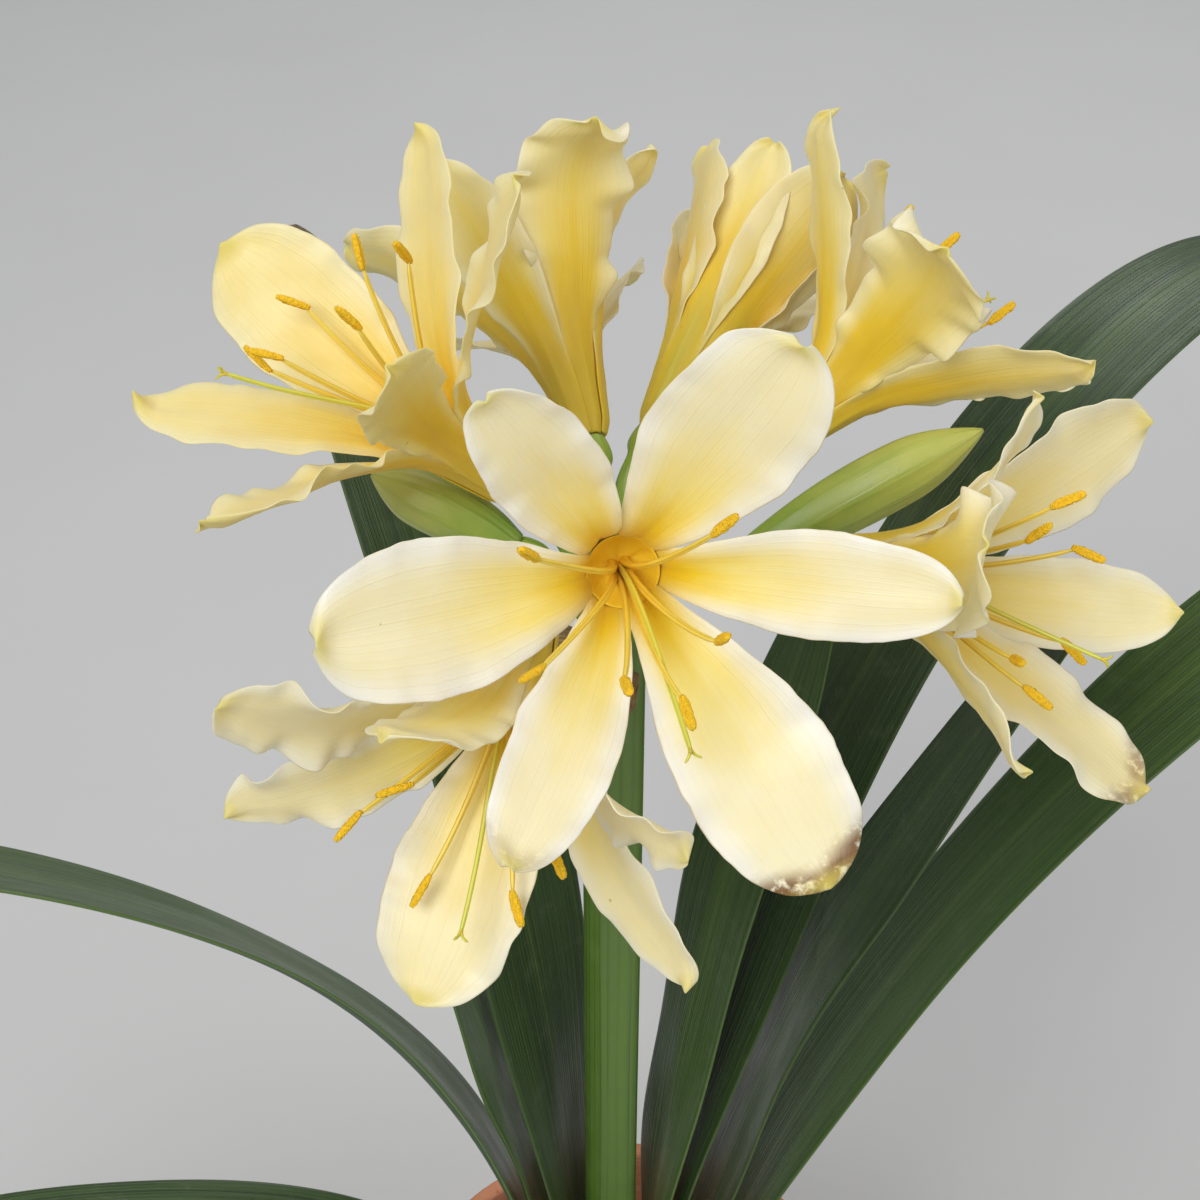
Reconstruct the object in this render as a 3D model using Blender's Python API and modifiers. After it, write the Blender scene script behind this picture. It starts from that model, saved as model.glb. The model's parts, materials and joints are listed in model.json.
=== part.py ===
"""A clivia in a terracotta pot: seven open flowers and two buds on one flower stalk, above two rows of strap leaves.

Metres, +Z up. The origin is the centre of the pot's flat base. The fan of leaves runs along X, and the umbel leans
its open face towards -Y.
"""

import math
from dataclasses import dataclass, field

import bmesh
import bpy
from mathutils import Matrix, Vector

GAP = 0.0003

# Pot and soil
POT_HEIGHT = 0.128
POT_RIM_RADIUS = 0.071
POT_BAND_HEIGHT = 0.024
POT_BAND_STEP = 0.004
POT_FOOT_RADIUS = 0.049
POT_WALL = 0.005
POT_FLOOR = 0.006
POT_STEPS = 30
DRAIN_RADIUS = 0.005
DRAIN_RING = 0.028
DRAIN_COUNT = 4
SOIL_TOP = 0.108
SOIL_CROWN_RISE = 0.004

# Crown of the plant, half in the soil
CROWN_HALF_X = 0.030
CROWN_HALF_Y = 0.021
CROWN_BOTTOM = 0.088
CROWN_TOP = 0.116

# Flower stalk
STALK_X = -0.006
UMBEL = Vector((STALK_X, 0.0, 0.428))
STALK_HALF_X = 0.0058
STALK_HALF_Y = 0.0078
STALK_FOOT_SWELL = 1.1
RECEPTACLE_RADIUS = 0.0092
RECEPTACLE_DEPTH = 0.010
PEDICEL_RING = 0.0068

# Flowers
TUBE_LENGTH = 0.012
TUBE_FOOT_RADIUS = 0.0036
TUBE_MOUTH_RADIUS = 0.0058
BLADE_THICKNESS = 0.0010
WIDEST_SHARE = 0.6
OPENING_SHARE = 0.4
OVARY_LENGTH = 0.009
OVARY_RADIUS = 0.0038
PEDICEL_RADIUS = 0.0021
PEDICEL_ROOT_RADIUS = 0.0015
FILAMENT_WIDTH = 0.0013
ANTHER_LENGTH = 0.0060
STAMEN_RING_HEIGHT = 0.0025
STAMEN_RING_RADIUS = 0.0040
STAMEN_RING_Z = 0.0085
STYLE_RADIUS = 0.0007
STAMEN_LENGTH = 0.050
STYLE_LENGTH = 0.062


@dataclass
class Tepal:
    """One blade of a flower. Angles are in degrees and lengths in metres."""

    spread: float = 50
    curl: float = 30
    lean: float = 0
    length: float = 0.080
    width: float = 0.020
    twist: float = 0


@dataclass
class Flower:
    """A flower: where its tube starts from the stalk's top, in millimetres, and where it faces."""

    base: tuple
    azimuth: float
    elevation: float
    roll: float
    root: tuple
    tepals: list
    stamens: list = field(default_factory=list)
    style: tuple = (180, 22)


def outer(spread=50, curl=30, lean=0, length=0.079, width=0.020, twist=0):
    """A tepal of the outer whorl, which is the narrower one."""
    return Tepal(spread, curl, lean, length, width, twist)


def inner(spread=50, curl=30, lean=0, length=0.079, width=0.029, twist=0):
    """A tepal of the inner whorl, which is the broader one."""
    return Tepal(spread, curl, lean, length, width, twist)


# Stamens as (roll, spread) in degrees
DROOPING_STAMENS = [(30, 20), (95, 24), (150, 26), (205, 26), (265, 24), (330, 20)]
HALF_OPEN_STAMENS = [(15, 5), (75, 6), (135, 8), (195, 8), (255, 8), (315, 6)]

# Each tepal list starts at the flower's roll and goes round by sixty degrees.
FLOWERS = {
    "front": Flower(
        base=(-1, -25, 30), azimuth=-82, elevation=28, roll=31, root=(-75, 0.25),
        stamens=[(72, 27), (122, 28), (140, 16), (206, 22), (251, 15), (309, 20)], style=(184, 31),
        tepals=[
            outer(spread=48, curl=10, lean=4, length=0.075), inner(spread=62, curl=10),
            outer(spread=48, curl=10, lean=-8), inner(spread=70, curl=5, lean=-4, length=0.083),
            outer(spread=56, curl=10, lean=-7), inner(spread=54, curl=10, lean=-6, length=0.077),
        ],
    ),
    "lower_left": Flower(
        base=(-15, -26, 16), azimuth=-106, elevation=-12, roll=0, root=(-125, 1),
        tepals=[
            outer(spread=34, curl=30, lean=14, length=0.070), inner(spread=46, curl=50, length=0.074),
            outer(spread=65, curl=20, lean=-11), inner(spread=28, curl=10, lean=-10),
            outer(spread=52, curl=20, lean=-8, length=0.081), inner(spread=38, curl=60, lean=-38, length=0.070),
        ],
    ),
    "right": Flower(
        base=(38, -2, 10), azimuth=-29, elevation=13, roll=285, root=(-35, 1),
        tepals=[
            inner(spread=48, curl=10), outer(spread=36, curl=50, lean=10, length=0.070),
            inner(spread=38, curl=60), outer(spread=36, curl=20, lean=8, length=0.074),
            inner(spread=33, curl=20, lean=11, length=0.085), outer(spread=40, curl=10, lean=10, length=0.083),
        ],
    ),
    "upper_right": Flower(
        base=(33, 31, 13), azimuth=32, elevation=30, roll=335, root=(40, 1),
        tepals=[
            outer(spread=52, curl=10, length=0.076), inner(spread=52, curl=70),
            outer(spread=41, curl=20, lean=-6, length=0.074), inner(spread=32, curl=20, lean=-5),
            outer(spread=28, curl=30), inner(spread=31, curl=20, lean=-6),
        ],
    ),
    "back_right": Flower(
        base=(9, 47, 9), azimuth=60, elevation=24, roll=0, root=(68, 1), stamens=HALF_OPEN_STAMENS, style=(180, 6),
        tepals=[
            outer(spread=13, curl=6, length=0.073), inner(spread=12, curl=10, length=0.075),
            outer(spread=15, curl=10, length=0.073), inner(spread=24, curl=10, length=0.074),
            outer(spread=24, curl=10, length=0.073), inner(spread=15, curl=10, length=0.074),
        ],
    ),
    "back_left": Flower(
        base=(-5, 40, 11), azimuth=108, elevation=25, roll=320, root=(116, 1),
        tepals=[
            outer(spread=44, curl=20, lean=8, length=0.071), inner(spread=35, curl=100, lean=-14, length=0.078),
            outer(spread=22, curl=50, lean=-18, length=0.075), inner(spread=40, curl=30),
            outer(spread=45, curl=30), inner(spread=32, curl=30),
        ],
    ),
    "left": Flower(
        base=(-21, 7, 21), azimuth=186, elevation=48, roll=52, root=(160, 1),
        stamens=[(15, 28), (45, 21), (113, 26), (170, 20), (200, 12), (310, 17)], style=(180, 24),
        tepals=[
            outer(spread=53, curl=10), inner(spread=36, curl=10), outer(spread=36, curl=10),
            inner(spread=48, curl=10, lean=4, length=0.076), outer(spread=46, curl=20, lean=10),
            inner(spread=56, curl=10),
        ],
    ),
}


@dataclass
class Bud:
    """A closed bud: where it starts from the stalk's top, in millimetres, where it points and its size."""

    base: tuple
    azimuth: float
    elevation: float
    root: tuple
    length: float
    width: float


BUDS = {
    "right": Bud(base=(28, 8, 2), azimuth=15, elevation=25, root=(5, 1), length=0.058, width=0.0125),
    "left": Bud(base=(-21, 3, 9), azimuth=166, elevation=24, root=(200, 1), length=0.034, width=0.0115),
}


@dataclass
class Leaf:
    """A strap: where it starts, how it arches away and how far it twists, in metres and degrees."""

    base: tuple
    azimuth: float
    length: float
    tilt: float
    tip_tilt: float
    bend: float = 1.5
    width: float = 0.034
    twist: float = 0.0
    fanned: bool = True


LEAVES = {
    "left_low": Leaf(base=(-0.0274, 0), azimuth=184, length=0.33, tilt=16, tip_tilt=150, bend=0.8),
    "left_arching": Leaf(base=(-0.0234, 0), azimuth=189, length=0.47, tilt=3, tip_tilt=140, bend=1.6, twist=-30),
    "left_short": Leaf(base=(-0.0194, 0), azimuth=168, length=0.22, tilt=4, tip_tilt=17, bend=1.2, width=0.026),
    "left_tall": Leaf(base=(-0.0152, 0), azimuth=122, length=0.375, tilt=3, tip_tilt=56, bend=1.8),
    "right_upright": Leaf(base=(0.0042, 0), azimuth=38, length=0.30, tilt=2, tip_tilt=22, bend=1.4, width=0.028),
    "right_tall": Leaf(base=(0.0082, 0), azimuth=45, length=0.54, tilt=3, tip_tilt=155, bend=1.85),
    "right_inner": Leaf(base=(0.0122, 0), azimuth=6, length=0.32, tilt=6, tip_tilt=30, bend=1.3, width=0.030),
    "right_long": Leaf(base=(0.0162, 0), azimuth=16, length=0.50, tilt=11, tip_tilt=82, bend=1.3),
    "right_low": Leaf(base=(0.0202, 0), azimuth=-4, length=0.30, tilt=26, tip_tilt=150, bend=0.8),
}
BRACTS = {
    "front": Leaf(base=(-0.003, -0.0086), azimuth=-100, length=0.012, tilt=95, tip_tilt=150, width=0.006, fanned=False),
    "left": Leaf(base=(-0.0124, 0.002), azimuth=170, length=0.034, tilt=85, tip_tilt=160, width=0.009, fanned=False),
    "back": Leaf(base=(-0.004, 0.0086), azimuth=80, length=0.028, tilt=80, tip_tilt=150, width=0.009, fanned=False),
}
BRACT_Z = 0.413

LEAF_THICKNESS = 0.0020
LEAF_GAP = 0.0008
BRACT_THICKNESS = 0.0006
LEAF_ACROSS = 2
LEAF_ALONG = 14
BRACT_ALONG = 5


def smooth(x):
    """Eases from 0 to 1."""
    x = min(1.0, max(0.0, x))
    return x * x * (3 - 2 * x)


def millimetres(*values):
    """A vector given in millimetres."""
    return Vector(values) / 1000


def direction(azimuth, elevation):
    """The unit vector at an azimuth from +X and an elevation above the horizon, in degrees."""
    a, e = math.radians(azimuth), math.radians(elevation)
    return Vector((math.cos(a) * math.cos(e), math.sin(a) * math.cos(e), math.sin(e)))


def clear_scene():
    for obj in list(bpy.data.objects):
        bpy.data.objects.remove(obj, do_unlink=True)


def new_collection(name):
    made = bpy.data.collections.new(name)
    bpy.context.scene.collection.children.link(made)
    return made


def make_material(name, colour, roughness):
    """A plain Principled surface."""
    material = bpy.data.materials.new(name)
    material.use_nodes = True
    shader = material.node_tree.nodes["Principled BSDF"]
    shader.inputs["Base Color"].default_value = (*colour, 1)
    shader.inputs["Roughness"].default_value = roughness
    return material


def link(obj, collection, material=None):
    collection.objects.link(obj)
    if material:
        obj.data.materials.append(material)
    return obj


def object_from(bm, name, collection, material):
    """Turns a bmesh into an object with smooth faces."""
    mesh = bpy.data.meshes.new(name)
    bm.to_mesh(mesh)
    bm.free()
    mesh.shade_smooth()
    return link(bpy.data.objects.new(name, mesh), collection, material)


def shaped_grid(across, along, place):
    """A grid whose point at (v, t), v from -1 to 1 across and t from 0 to 1 along, is moved to place(v, t)."""
    bm = bmesh.new()
    bmesh.ops.create_grid(bm, x_segments=across, y_segments=along, size=1)
    for vert in bm.verts:
        vert.co = place(vert.co.x, (vert.co.y + 1) / 2)
    return bm


def solidify(obj, thickness, offset=0.0):
    wall = obj.modifiers.new("Wall", "SOLIDIFY")
    wall.thickness = thickness
    wall.offset = offset
    wall.use_even_offset = True
    return obj


def turned(name, profile, steps, collection, material):
    """A turned solid from (radius, height) points that run out along the inside and down the outside."""
    mesh = bpy.data.meshes.new(name)
    points = [(r, 0, z) for r, z in profile]
    mesh.from_pydata(points, [(i, i + 1) for i in range(len(points) - 1)], [])
    obj = link(bpy.data.objects.new(name, mesh), collection, material)
    screw = obj.modifiers.new("Turn", "SCREW")
    screw.steps = screw.render_steps = steps
    screw.use_merge_vertices = True
    screw.merge_threshold = 0.00005
    screw.use_smooth_shade = True
    return obj


def cut(obj, cutter):
    tool = obj.modifiers.new("Cut " + cutter.name, "BOOLEAN")
    tool.operation = "DIFFERENCE"
    tool.object = cutter
    cutter.hide_render = True
    cutter.display_type = "WIRE"


def curve_tube(name, points, radii, collection, material, resolution=1):
    """A tube along points, with its own radius at each one."""
    data = bpy.data.curves.new(name, "CURVE")
    data.dimensions = "3D"
    data.bevel_depth = 1.0
    data.bevel_resolution = resolution
    data.use_fill_caps = True
    line = data.splines.new("POLY")
    line.points.add(len(points) - 1)
    for place, point, radius in zip(line.points, points, radii):
        place.co = (*point, 1)
        place.radius = radius
    return link(bpy.data.objects.new(name, data), collection, material)


def arc_through(start, start_way, end, end_way, count):
    """Points of a smooth curve that leaves start along start_way and reaches end along end_way."""
    reach = (end - start).length * 0.4
    a, b = start + start_way * reach, end - end_way * reach
    points = []
    for i in range(count):
        t = i / (count - 1)
        s = 1 - t
        points.append(start * s**3 + a * 3 * s * s * t + b * 3 * s * t * t + end * t**3)
    return points


def flower_frame(flower):
    """A flower's or bud's own frame: +Z along its axis and +X on its upper side."""
    axis = direction(flower.azimuth, flower.elevation)
    up = Vector((0, 0, 1)) - axis * axis.z
    up.normalize()
    side = axis.cross(up)
    frame = Matrix((up, side, axis)).transposed().to_4x4()
    frame.translation = UMBEL + millimetres(*flower.base)
    return frame


def tube_radius(along):
    """The radius of a flower's tube at a distance above its foot."""
    return TUBE_FOOT_RADIUS + (TUBE_MOUTH_RADIUS - TUBE_FOOT_RADIUS) * along / TUBE_LENGTH


def tepal_half_width(tepal, q):
    """Half the blade's width at share q of its free length."""
    start = TUBE_MOUTH_RADIUS * math.pi / 6
    full = tepal.width / 2
    if q < WIDEST_SHARE:
        return start + (full - start) * smooth(q / WIDEST_SHARE)
    past = (q - WIDEST_SHARE) / (1 - WIDEST_SHARE)
    return full * math.sqrt(max(0.012, 1 - past**2.4))


def tepal_point(tepal, roll, v, s):
    """The blade's point at v from -1 to 1 across, s metres along its midrib, in the flower's frame."""
    side = math.radians(30) * v
    if s <= TUBE_LENGTH + 1e-6:
        turn = math.radians(roll) + side
        radius = tube_radius(s)
        return Vector((radius * math.cos(turn), radius * math.sin(turn), s))
    free = tepal.length - TUBE_LENGTH
    out = Vector((math.cos(math.radians(roll)), math.sin(math.radians(roll)), 0))
    around = Vector((0, 0, 1)).cross(out)
    mid = out * TUBE_MOUTH_RADIUS + Vector((0, 0, TUBE_LENGTH))
    start_angle = math.atan((TUBE_MOUTH_RADIUS - TUBE_FOOT_RADIUS) / TUBE_LENGTH)
    steps = 12
    reached = s - TUBE_LENGTH
    for i in range(steps):
        q = reached * (i + 0.5) / steps / free
        angle = start_angle + (math.radians(tepal.spread) - start_angle) * smooth(q / OPENING_SHARE)
        angle += math.radians(tepal.curl) * max(0.0, (q - 0.45) / 0.55) ** 1.6
        lean = math.radians(tepal.lean) * smooth(q)
        ahead = (out * math.sin(angle) + Vector((0, 0, math.cos(angle)))) * math.cos(lean)
        ahead += around * math.sin(lean)
        mid += ahead * reached / steps
    q = reached / free
    across = (around - ahead * around.dot(ahead)).normalized()
    inward = ahead.cross(across)
    twist = math.radians(tepal.twist) * smooth(q)
    across, inward = (
        across * math.cos(twist) + inward * math.sin(twist),
        inward * math.cos(twist) - across * math.sin(twist),
    )
    bend = math.exp(-4 * q) / TUBE_MOUTH_RADIUS + 14 * q
    angle = v * tepal_half_width(tepal, q) * bend
    return mid + across * math.sin(angle) / bend + inward * (1 - math.cos(angle)) / bend


PERIANTH_ROWS = (0, 0.15, 0.27, 0.42, 0.58, 0.74, 0.90, 1.0)


def make_perianth(name, flower, collection, material):
    """Six blades that are one tube at their foot, as one walled surface."""
    bm = bmesh.new()
    for i, tepal in enumerate(flower.tepals):
        roll = flower.roll + 60 * i

        def place(v, t, tepal=tepal, roll=roll):
            row = PERIANTH_ROWS[round(t * (len(PERIANTH_ROWS) - 1))]
            tube = TUBE_LENGTH / tepal.length
            s = row / 0.15 * tube if row <= 0.15 else tube + (row - 0.15) / 0.85 * (1 - tube)
            return tepal_point(tepal, roll, v, s * tepal.length)

        blade = shaped_grid(4, len(PERIANTH_ROWS) - 1, place)
        piece = bpy.data.meshes.new("blade")
        blade.to_mesh(piece)
        blade.free()
        bm.from_mesh(piece)
        bpy.data.meshes.remove(piece)
    bmesh.ops.remove_doubles(bm, verts=bm.verts, dist=0.00002)
    bmesh.ops.recalc_face_normals(bm, faces=bm.faces)
    bm.transform(flower_frame(flower))
    return solidify(object_from(bm, name, collection, material), BLADE_THICKNESS)


def stamen_path(roll, spread, length, droop_lift=16):
    """A filament or style in the flower's frame: out of the tube, away from the axis, and up again at its end."""
    out = Vector((math.cos(math.radians(roll)), math.sin(math.radians(roll)), 0))
    points = []
    place = Vector((0, 0, 0))
    steps = 4
    for i in range(steps):
        t = (i + 0.5) / steps
        angle = math.radians(spread) * smooth(t * 1.6) * 1.25
        lift = math.radians(droop_lift) * max(0.0, t - 0.5)
        ahead = out * math.sin(angle) + Vector((0, 0, math.cos(angle)))
        ahead += Vector((math.sin(lift), 0, 0))
        place = place + ahead.normalized() * length / steps
        points.append(place.copy())
    return points


def make_stamens(name, flower, collection, material):
    """Six filaments with their anthers, drawn out of the faces of one ring in the flower's throat."""
    bm = bmesh.new()
    sides = 12
    ring = bmesh.ops.create_cone(
        bm, segments=sides, radius1=STAMEN_RING_RADIUS, radius2=STAMEN_RING_RADIUS, depth=STAMEN_RING_HEIGHT
    )["verts"]
    bmesh.ops.translate(bm, verts=ring, vec=(0, 0, STAMEN_RING_Z))
    walls = list(bm.faces)
    inner_ring = bmesh.ops.extrude_face_region(bm, geom=walls)
    for vert in [g for g in inner_ring["geom"] if isinstance(g, bmesh.types.BMVert)]:
        vert.co.x *= 0.62
        vert.co.y *= 0.62
    top = STAMEN_RING_Z + STAMEN_RING_HEIGHT / 2
    bmesh.ops.recalc_face_normals(bm, faces=bm.faces)
    tops = [f for f in bm.faces if all(abs(v.co.z - top) < 1e-6 for v in f.verts)]
    tops.sort(key=lambda f: math.atan2(f.calc_center_median().y, f.calc_center_median().x) % (2 * math.pi))
    for i, (roll, spread) in enumerate(flower.stamens or DROOPING_STAMENS):
        want = math.radians(roll) % (2 * math.pi)
        face = min(
            tops,
            key=lambda f: abs(
                math.remainder(
                    math.atan2(f.calc_center_median().y, f.calc_center_median().x) - want, 2 * math.pi
                )
            ),
        )
        near = tops.index(face)
        start = face.calc_center_median()
        path = stamen_path(roll, spread, STAMEN_LENGTH)
        ends = [start + p for p in path]
        ahead = (ends[-1] - ends[-2]).normalized()
        sizes = [FILAMENT_WIDTH / 2] * len(ends) + [0.0013, 0.0013, 0.0006]
        ends += [ends[-1] + ahead * ANTHER_LENGTH * share for share in (0.15, 0.8, 1.0)]
        for size, end in zip(sizes, ends):
            made = bmesh.ops.extrude_face_region(bm, geom=[face])
            bmesh.ops.delete(bm, geom=[face], context="FACES_ONLY")
            face = next(g for g in made["geom"] if isinstance(g, bmesh.types.BMFace))
            centre = face.calc_center_median()
            for vert in face.verts:
                away = (vert.co - centre).normalized()
                vert.co = end + away * size * math.sqrt(2)
        tops.pop(near)
    bmesh.ops.recalc_face_normals(bm, faces=bm.faces)
    bm.transform(flower_frame(flower))
    return object_from(bm, name, collection, material)


def make_style(name, flower, collection, material):
    """The style, from the ovary's top to the stigma."""
    frame = flower_frame(flower)
    tube_end = STAMEN_RING_Z + STAMEN_RING_HEIGHT / 2 + 0.001
    points = [Vector((0, 0, GAP)), Vector((0, 0, tube_end))]
    points += [points[1] + p for p in stamen_path(*flower.style, STYLE_LENGTH - tube_end)]
    radii = [STYLE_RADIUS] * (len(points) - 1) + [STYLE_RADIUS * 1.7]
    return curve_tube(name, [frame @ p for p in points], radii, collection, material)


def pedicel_points(flower, count=6):
    """The centre line and radii of a flower's or bud's stalk, which ends in its ovary."""
    frame = flower_frame(flower)
    axis = frame.to_3x3() @ Vector((0, 0, 1))
    turn, share = math.radians(flower.root[0]), flower.root[1]
    foot = UMBEL + Vector((math.cos(turn), math.sin(turn), 0)) * PEDICEL_RING * share + Vector((0, 0, GAP))
    end = frame.translation - axis * GAP
    ovary = end - axis * OVARY_LENGTH
    away = Vector((math.cos(turn), math.sin(turn), 1.6)).normalized()
    points = [foot] + arc_through(foot + Vector((0, 0, 0.0012)), away, ovary, axis, count)
    grow = [PEDICEL_ROOT_RADIUS + (PEDICEL_RADIUS - PEDICEL_ROOT_RADIUS) * smooth(i / 3) for i in range(count + 1)]
    points += [ovary + axis * OVARY_LENGTH * share for share in (0.3, 0.7, 1.0)]
    return points, grow + [OVARY_RADIUS * 0.85, OVARY_RADIUS, OVARY_RADIUS * 0.82]


def make_bud(name, bud, collection, material):
    """A closed bud: a long drop with three faint edges, pointed at its tip."""
    bm = bmesh.new()
    sides, rings = 9, 8

    def place(v, t):
        turn = math.pi * v
        swell = math.sin(math.pi * min(1, 0.5 * (t / 0.68) if t < 0.68 else 0.5 + 0.5 * (t - 0.68) / 0.32)) ** 0.9
        radius = 0.0030 * (1 - t) + (bud.width / 2 - 0.0010) * swell + 0.0005
        radius *= 1 + 0.05 * math.cos(3 * turn)
        return Vector((radius * math.cos(turn), radius * math.sin(turn), t * bud.length))

    bm = shaped_grid(sides, rings, place)
    bmesh.ops.remove_doubles(bm, verts=bm.verts, dist=0.00001)
    bmesh.ops.holes_fill(bm, edges=bm.edges, sides=sides)
    bmesh.ops.recalc_face_normals(bm, faces=bm.faces)
    bm.transform(flower_frame(bud))
    return object_from(bm, name, collection, material)


def leaf_path(leaf, s):
    """A leaf's midrib at s metres along: its place, the way across and the way up from its upper face."""
    turn = math.radians(leaf.azimuth)
    out = Vector((math.cos(turn), math.sin(turn), 0))
    place = Vector((*leaf.base, CROWN_TOP + LEAF_GAP if leaf.fanned else BRACT_Z))
    steps = 24
    ahead = out
    for i in range(steps):
        share = s * (i + 0.5) / steps / leaf.length
        tilt = math.radians(leaf.tilt + (leaf.tip_tilt - leaf.tilt) * share**leaf.bend)
        ahead = out * math.sin(tilt) + Vector((0, 0, math.cos(tilt)))
        place = place + ahead * s / steps
    # A leaf of the fan faces along X at its base and along its own way out further up.
    blend = smooth(s / 0.24) if leaf.fanned else 1
    inward = Vector((-1 if out.x > 0 else 1, 0, 0)) * (1 - blend) - out * blend
    across = Vector((0, 0, 1)).cross(inward).normalized()
    face = ahead.cross(across).normalized()
    if leaf.fanned:
        face.negate()
    twist = math.radians(leaf.twist) * smooth(2 * s / leaf.length)
    return place, across * math.cos(twist) + face * math.sin(twist), face * math.cos(twist) - across * math.sin(twist)


def leaf_half_width(leaf, t):
    """Half a leaf's width at share t of its length."""
    tip = (t - 0.55) / 0.45
    return leaf.width / 2 * (0.86 + 0.14 * smooth(t / 0.3)) * (1 if tip < 0 else math.sqrt(max(0.02, 1 - tip**2.6)))


def make_leaf(name, leaf, collection, material):
    """A strap with a shallow channel along its middle, as a walled surface."""

    def place(v, t):
        t = 1 - (1 - t) ** 1.25
        middle, across, face = leaf_path(leaf, t * leaf.length)
        half = leaf_half_width(leaf, t)
        channel = 0.16 * (1 - 0.5 * t)
        return middle + across * v * half + face * half * channel * v * v

    bm = shaped_grid(LEAF_ACROSS, LEAF_ALONG if leaf.fanned else BRACT_ALONG, place)
    obj = object_from(bm, name, collection, material)
    return solidify(obj, LEAF_THICKNESS if leaf.fanned else BRACT_THICKNESS)


def make_pot(parts, cutters, material):
    wall, rim, top = POT_WALL, POT_RIM_RADIUS, POT_HEIGHT
    band_foot = top - POT_BAND_HEIGHT
    body_top = rim - POT_BAND_STEP - 0.001
    profile = [
        (0, POT_FLOOR), (POT_FOOT_RADIUS - wall - 0.003, POT_FLOOR), (POT_FOOT_RADIUS - wall, POT_FLOOR + 0.003),
        (rim - wall - 0.002, top - 0.002), (rim - wall, top), (rim - 0.001, top), (rim, top - 0.001),
        (rim - 0.001, band_foot + 0.001), (rim - 0.002, band_foot), (body_top, band_foot),
        (POT_FOOT_RADIUS + 0.0005, 0.0015), (POT_FOOT_RADIUS - 0.001, 0), (0, 0),
    ]
    pot = turned("pot", profile, POT_STEPS, parts, material)
    for i in range(DRAIN_COUNT):
        turn = 2 * math.pi * (i + 0.5) / DRAIN_COUNT
        bpy.ops.mesh.primitive_cylinder_add(
            vertices=16, radius=DRAIN_RADIUS, depth=0.03,
            location=(DRAIN_RING * math.cos(turn), DRAIN_RING * math.sin(turn), 0.003),
        )
        drain = bpy.context.object
        drain.name = f"drain_{i + 1}"
        for owner in drain.users_collection:
            owner.objects.unlink(drain)
        cutters.objects.link(drain)
        cut(pot, drain)
    return pot


def make_crown(name, grow, parts, material):
    """The plant's short stem: a squashed drum, its size grown by `grow` where it cuts the soil."""
    bpy.ops.mesh.primitive_cylinder_add(vertices=24, radius=1, depth=1, location=(0, 0, 0))
    crown = bpy.context.object
    crown.name = crown.data.name = name
    half_x, half_y = CROWN_HALF_X + grow, CROWN_HALF_Y + grow
    bottom, top = CROWN_BOTTOM - grow, CROWN_TOP + (0.05 if grow else 0)
    for vert in crown.data.vertices:
        vert.co.x = vert.co.x * half_x + STALK_X
        vert.co.y *= half_y
        vert.co.z = top if vert.co.z > 0 else bottom
    crown.data.shade_smooth()
    for owner in crown.users_collection:
        owner.objects.unlink(crown)
    return link(crown, parts, material)


def make_soil(parts, cutters, material):
    """Potting soil that fills the pot a finger's width below its rim, hollowed for the crown."""
    def inside(z):
        low, high = POT_FLOOR + 0.003, POT_HEIGHT - 0.002
        foot, rim = POT_FOOT_RADIUS - POT_WALL, POT_RIM_RADIUS - POT_WALL - 0.002
        return foot + (rim - foot) * (z - low) / (high - low) - 0.0005

    bottom = POT_FLOOR + GAP
    profile = [(0, SOIL_TOP + SOIL_CROWN_RISE)]
    profile += [(inside(SOIL_TOP) * share, SOIL_TOP + SOIL_CROWN_RISE * (1 - share**2)) for share in (0.35, 0.7, 1)]
    profile += [(inside(bottom + 0.004), bottom + 0.004), (POT_FOOT_RADIUS - POT_WALL - 0.0045, bottom), (0, bottom)]
    soil = turned("soil", profile, POT_STEPS, parts, material)
    cut(soil, make_crown("crown_hollow", 0.0004, cutters, material))
    return soil


def make_flower_stalk(parts, material):
    """The flattened stalk that carries the umbel, with the swollen receptacle at its top."""
    foot, top = CROWN_TOP + GAP, UMBEL.z
    levels = [(0, STALK_FOOT_SWELL), (0.15, 1.1), (0.5, 1.0), (0.9, 0.98), (1 - RECEPTACLE_DEPTH / (top - foot), 1.0), (1, 0)]
    bm = bmesh.new()
    ring = bmesh.ops.create_circle(bm, cap_ends=True, segments=14, radius=1)["verts"]
    face = bm.faces[:][0] if len(bm.faces) else None
    previous = list(ring)

    def lay(verts, turns, share, swell):
        for vert, turn in zip(verts, turns):
            rx = STALK_HALF_X * swell if swell else RECEPTACLE_RADIUS
            ry = STALK_HALF_Y * swell if swell else RECEPTACLE_RADIUS
            vert.co = (STALK_X + rx * math.cos(turn), ry * math.sin(turn), foot + (top - foot) * share)

    turns = {v: math.atan2(v.co.y, v.co.x) for v in previous}
    bm.faces.ensure_lookup_table()
    face = bm.faces[0]
    lay(face.verts, [turns[v] for v in face.verts], *levels[0])
    angles = [turns[v] for v in face.verts]
    for share, swell in levels[1:]:
        made = bmesh.ops.extrude_face_region(bm, geom=[face])
        if face.is_valid and share > levels[1][0]:
            bmesh.ops.delete(bm, geom=[face], context="FACES_ONLY")
        face = next(g for g in made["geom"] if isinstance(g, bmesh.types.BMFace))
        order = sorted(face.verts, key=lambda v: math.atan2(v.co.y, (v.co.x - STALK_X)))
        lay(order, sorted(angles), share, swell)
    bmesh.ops.recalc_face_normals(bm, faces=bm.faces)
    return object_from(bm, "flower_stalk", parts, material)


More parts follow.
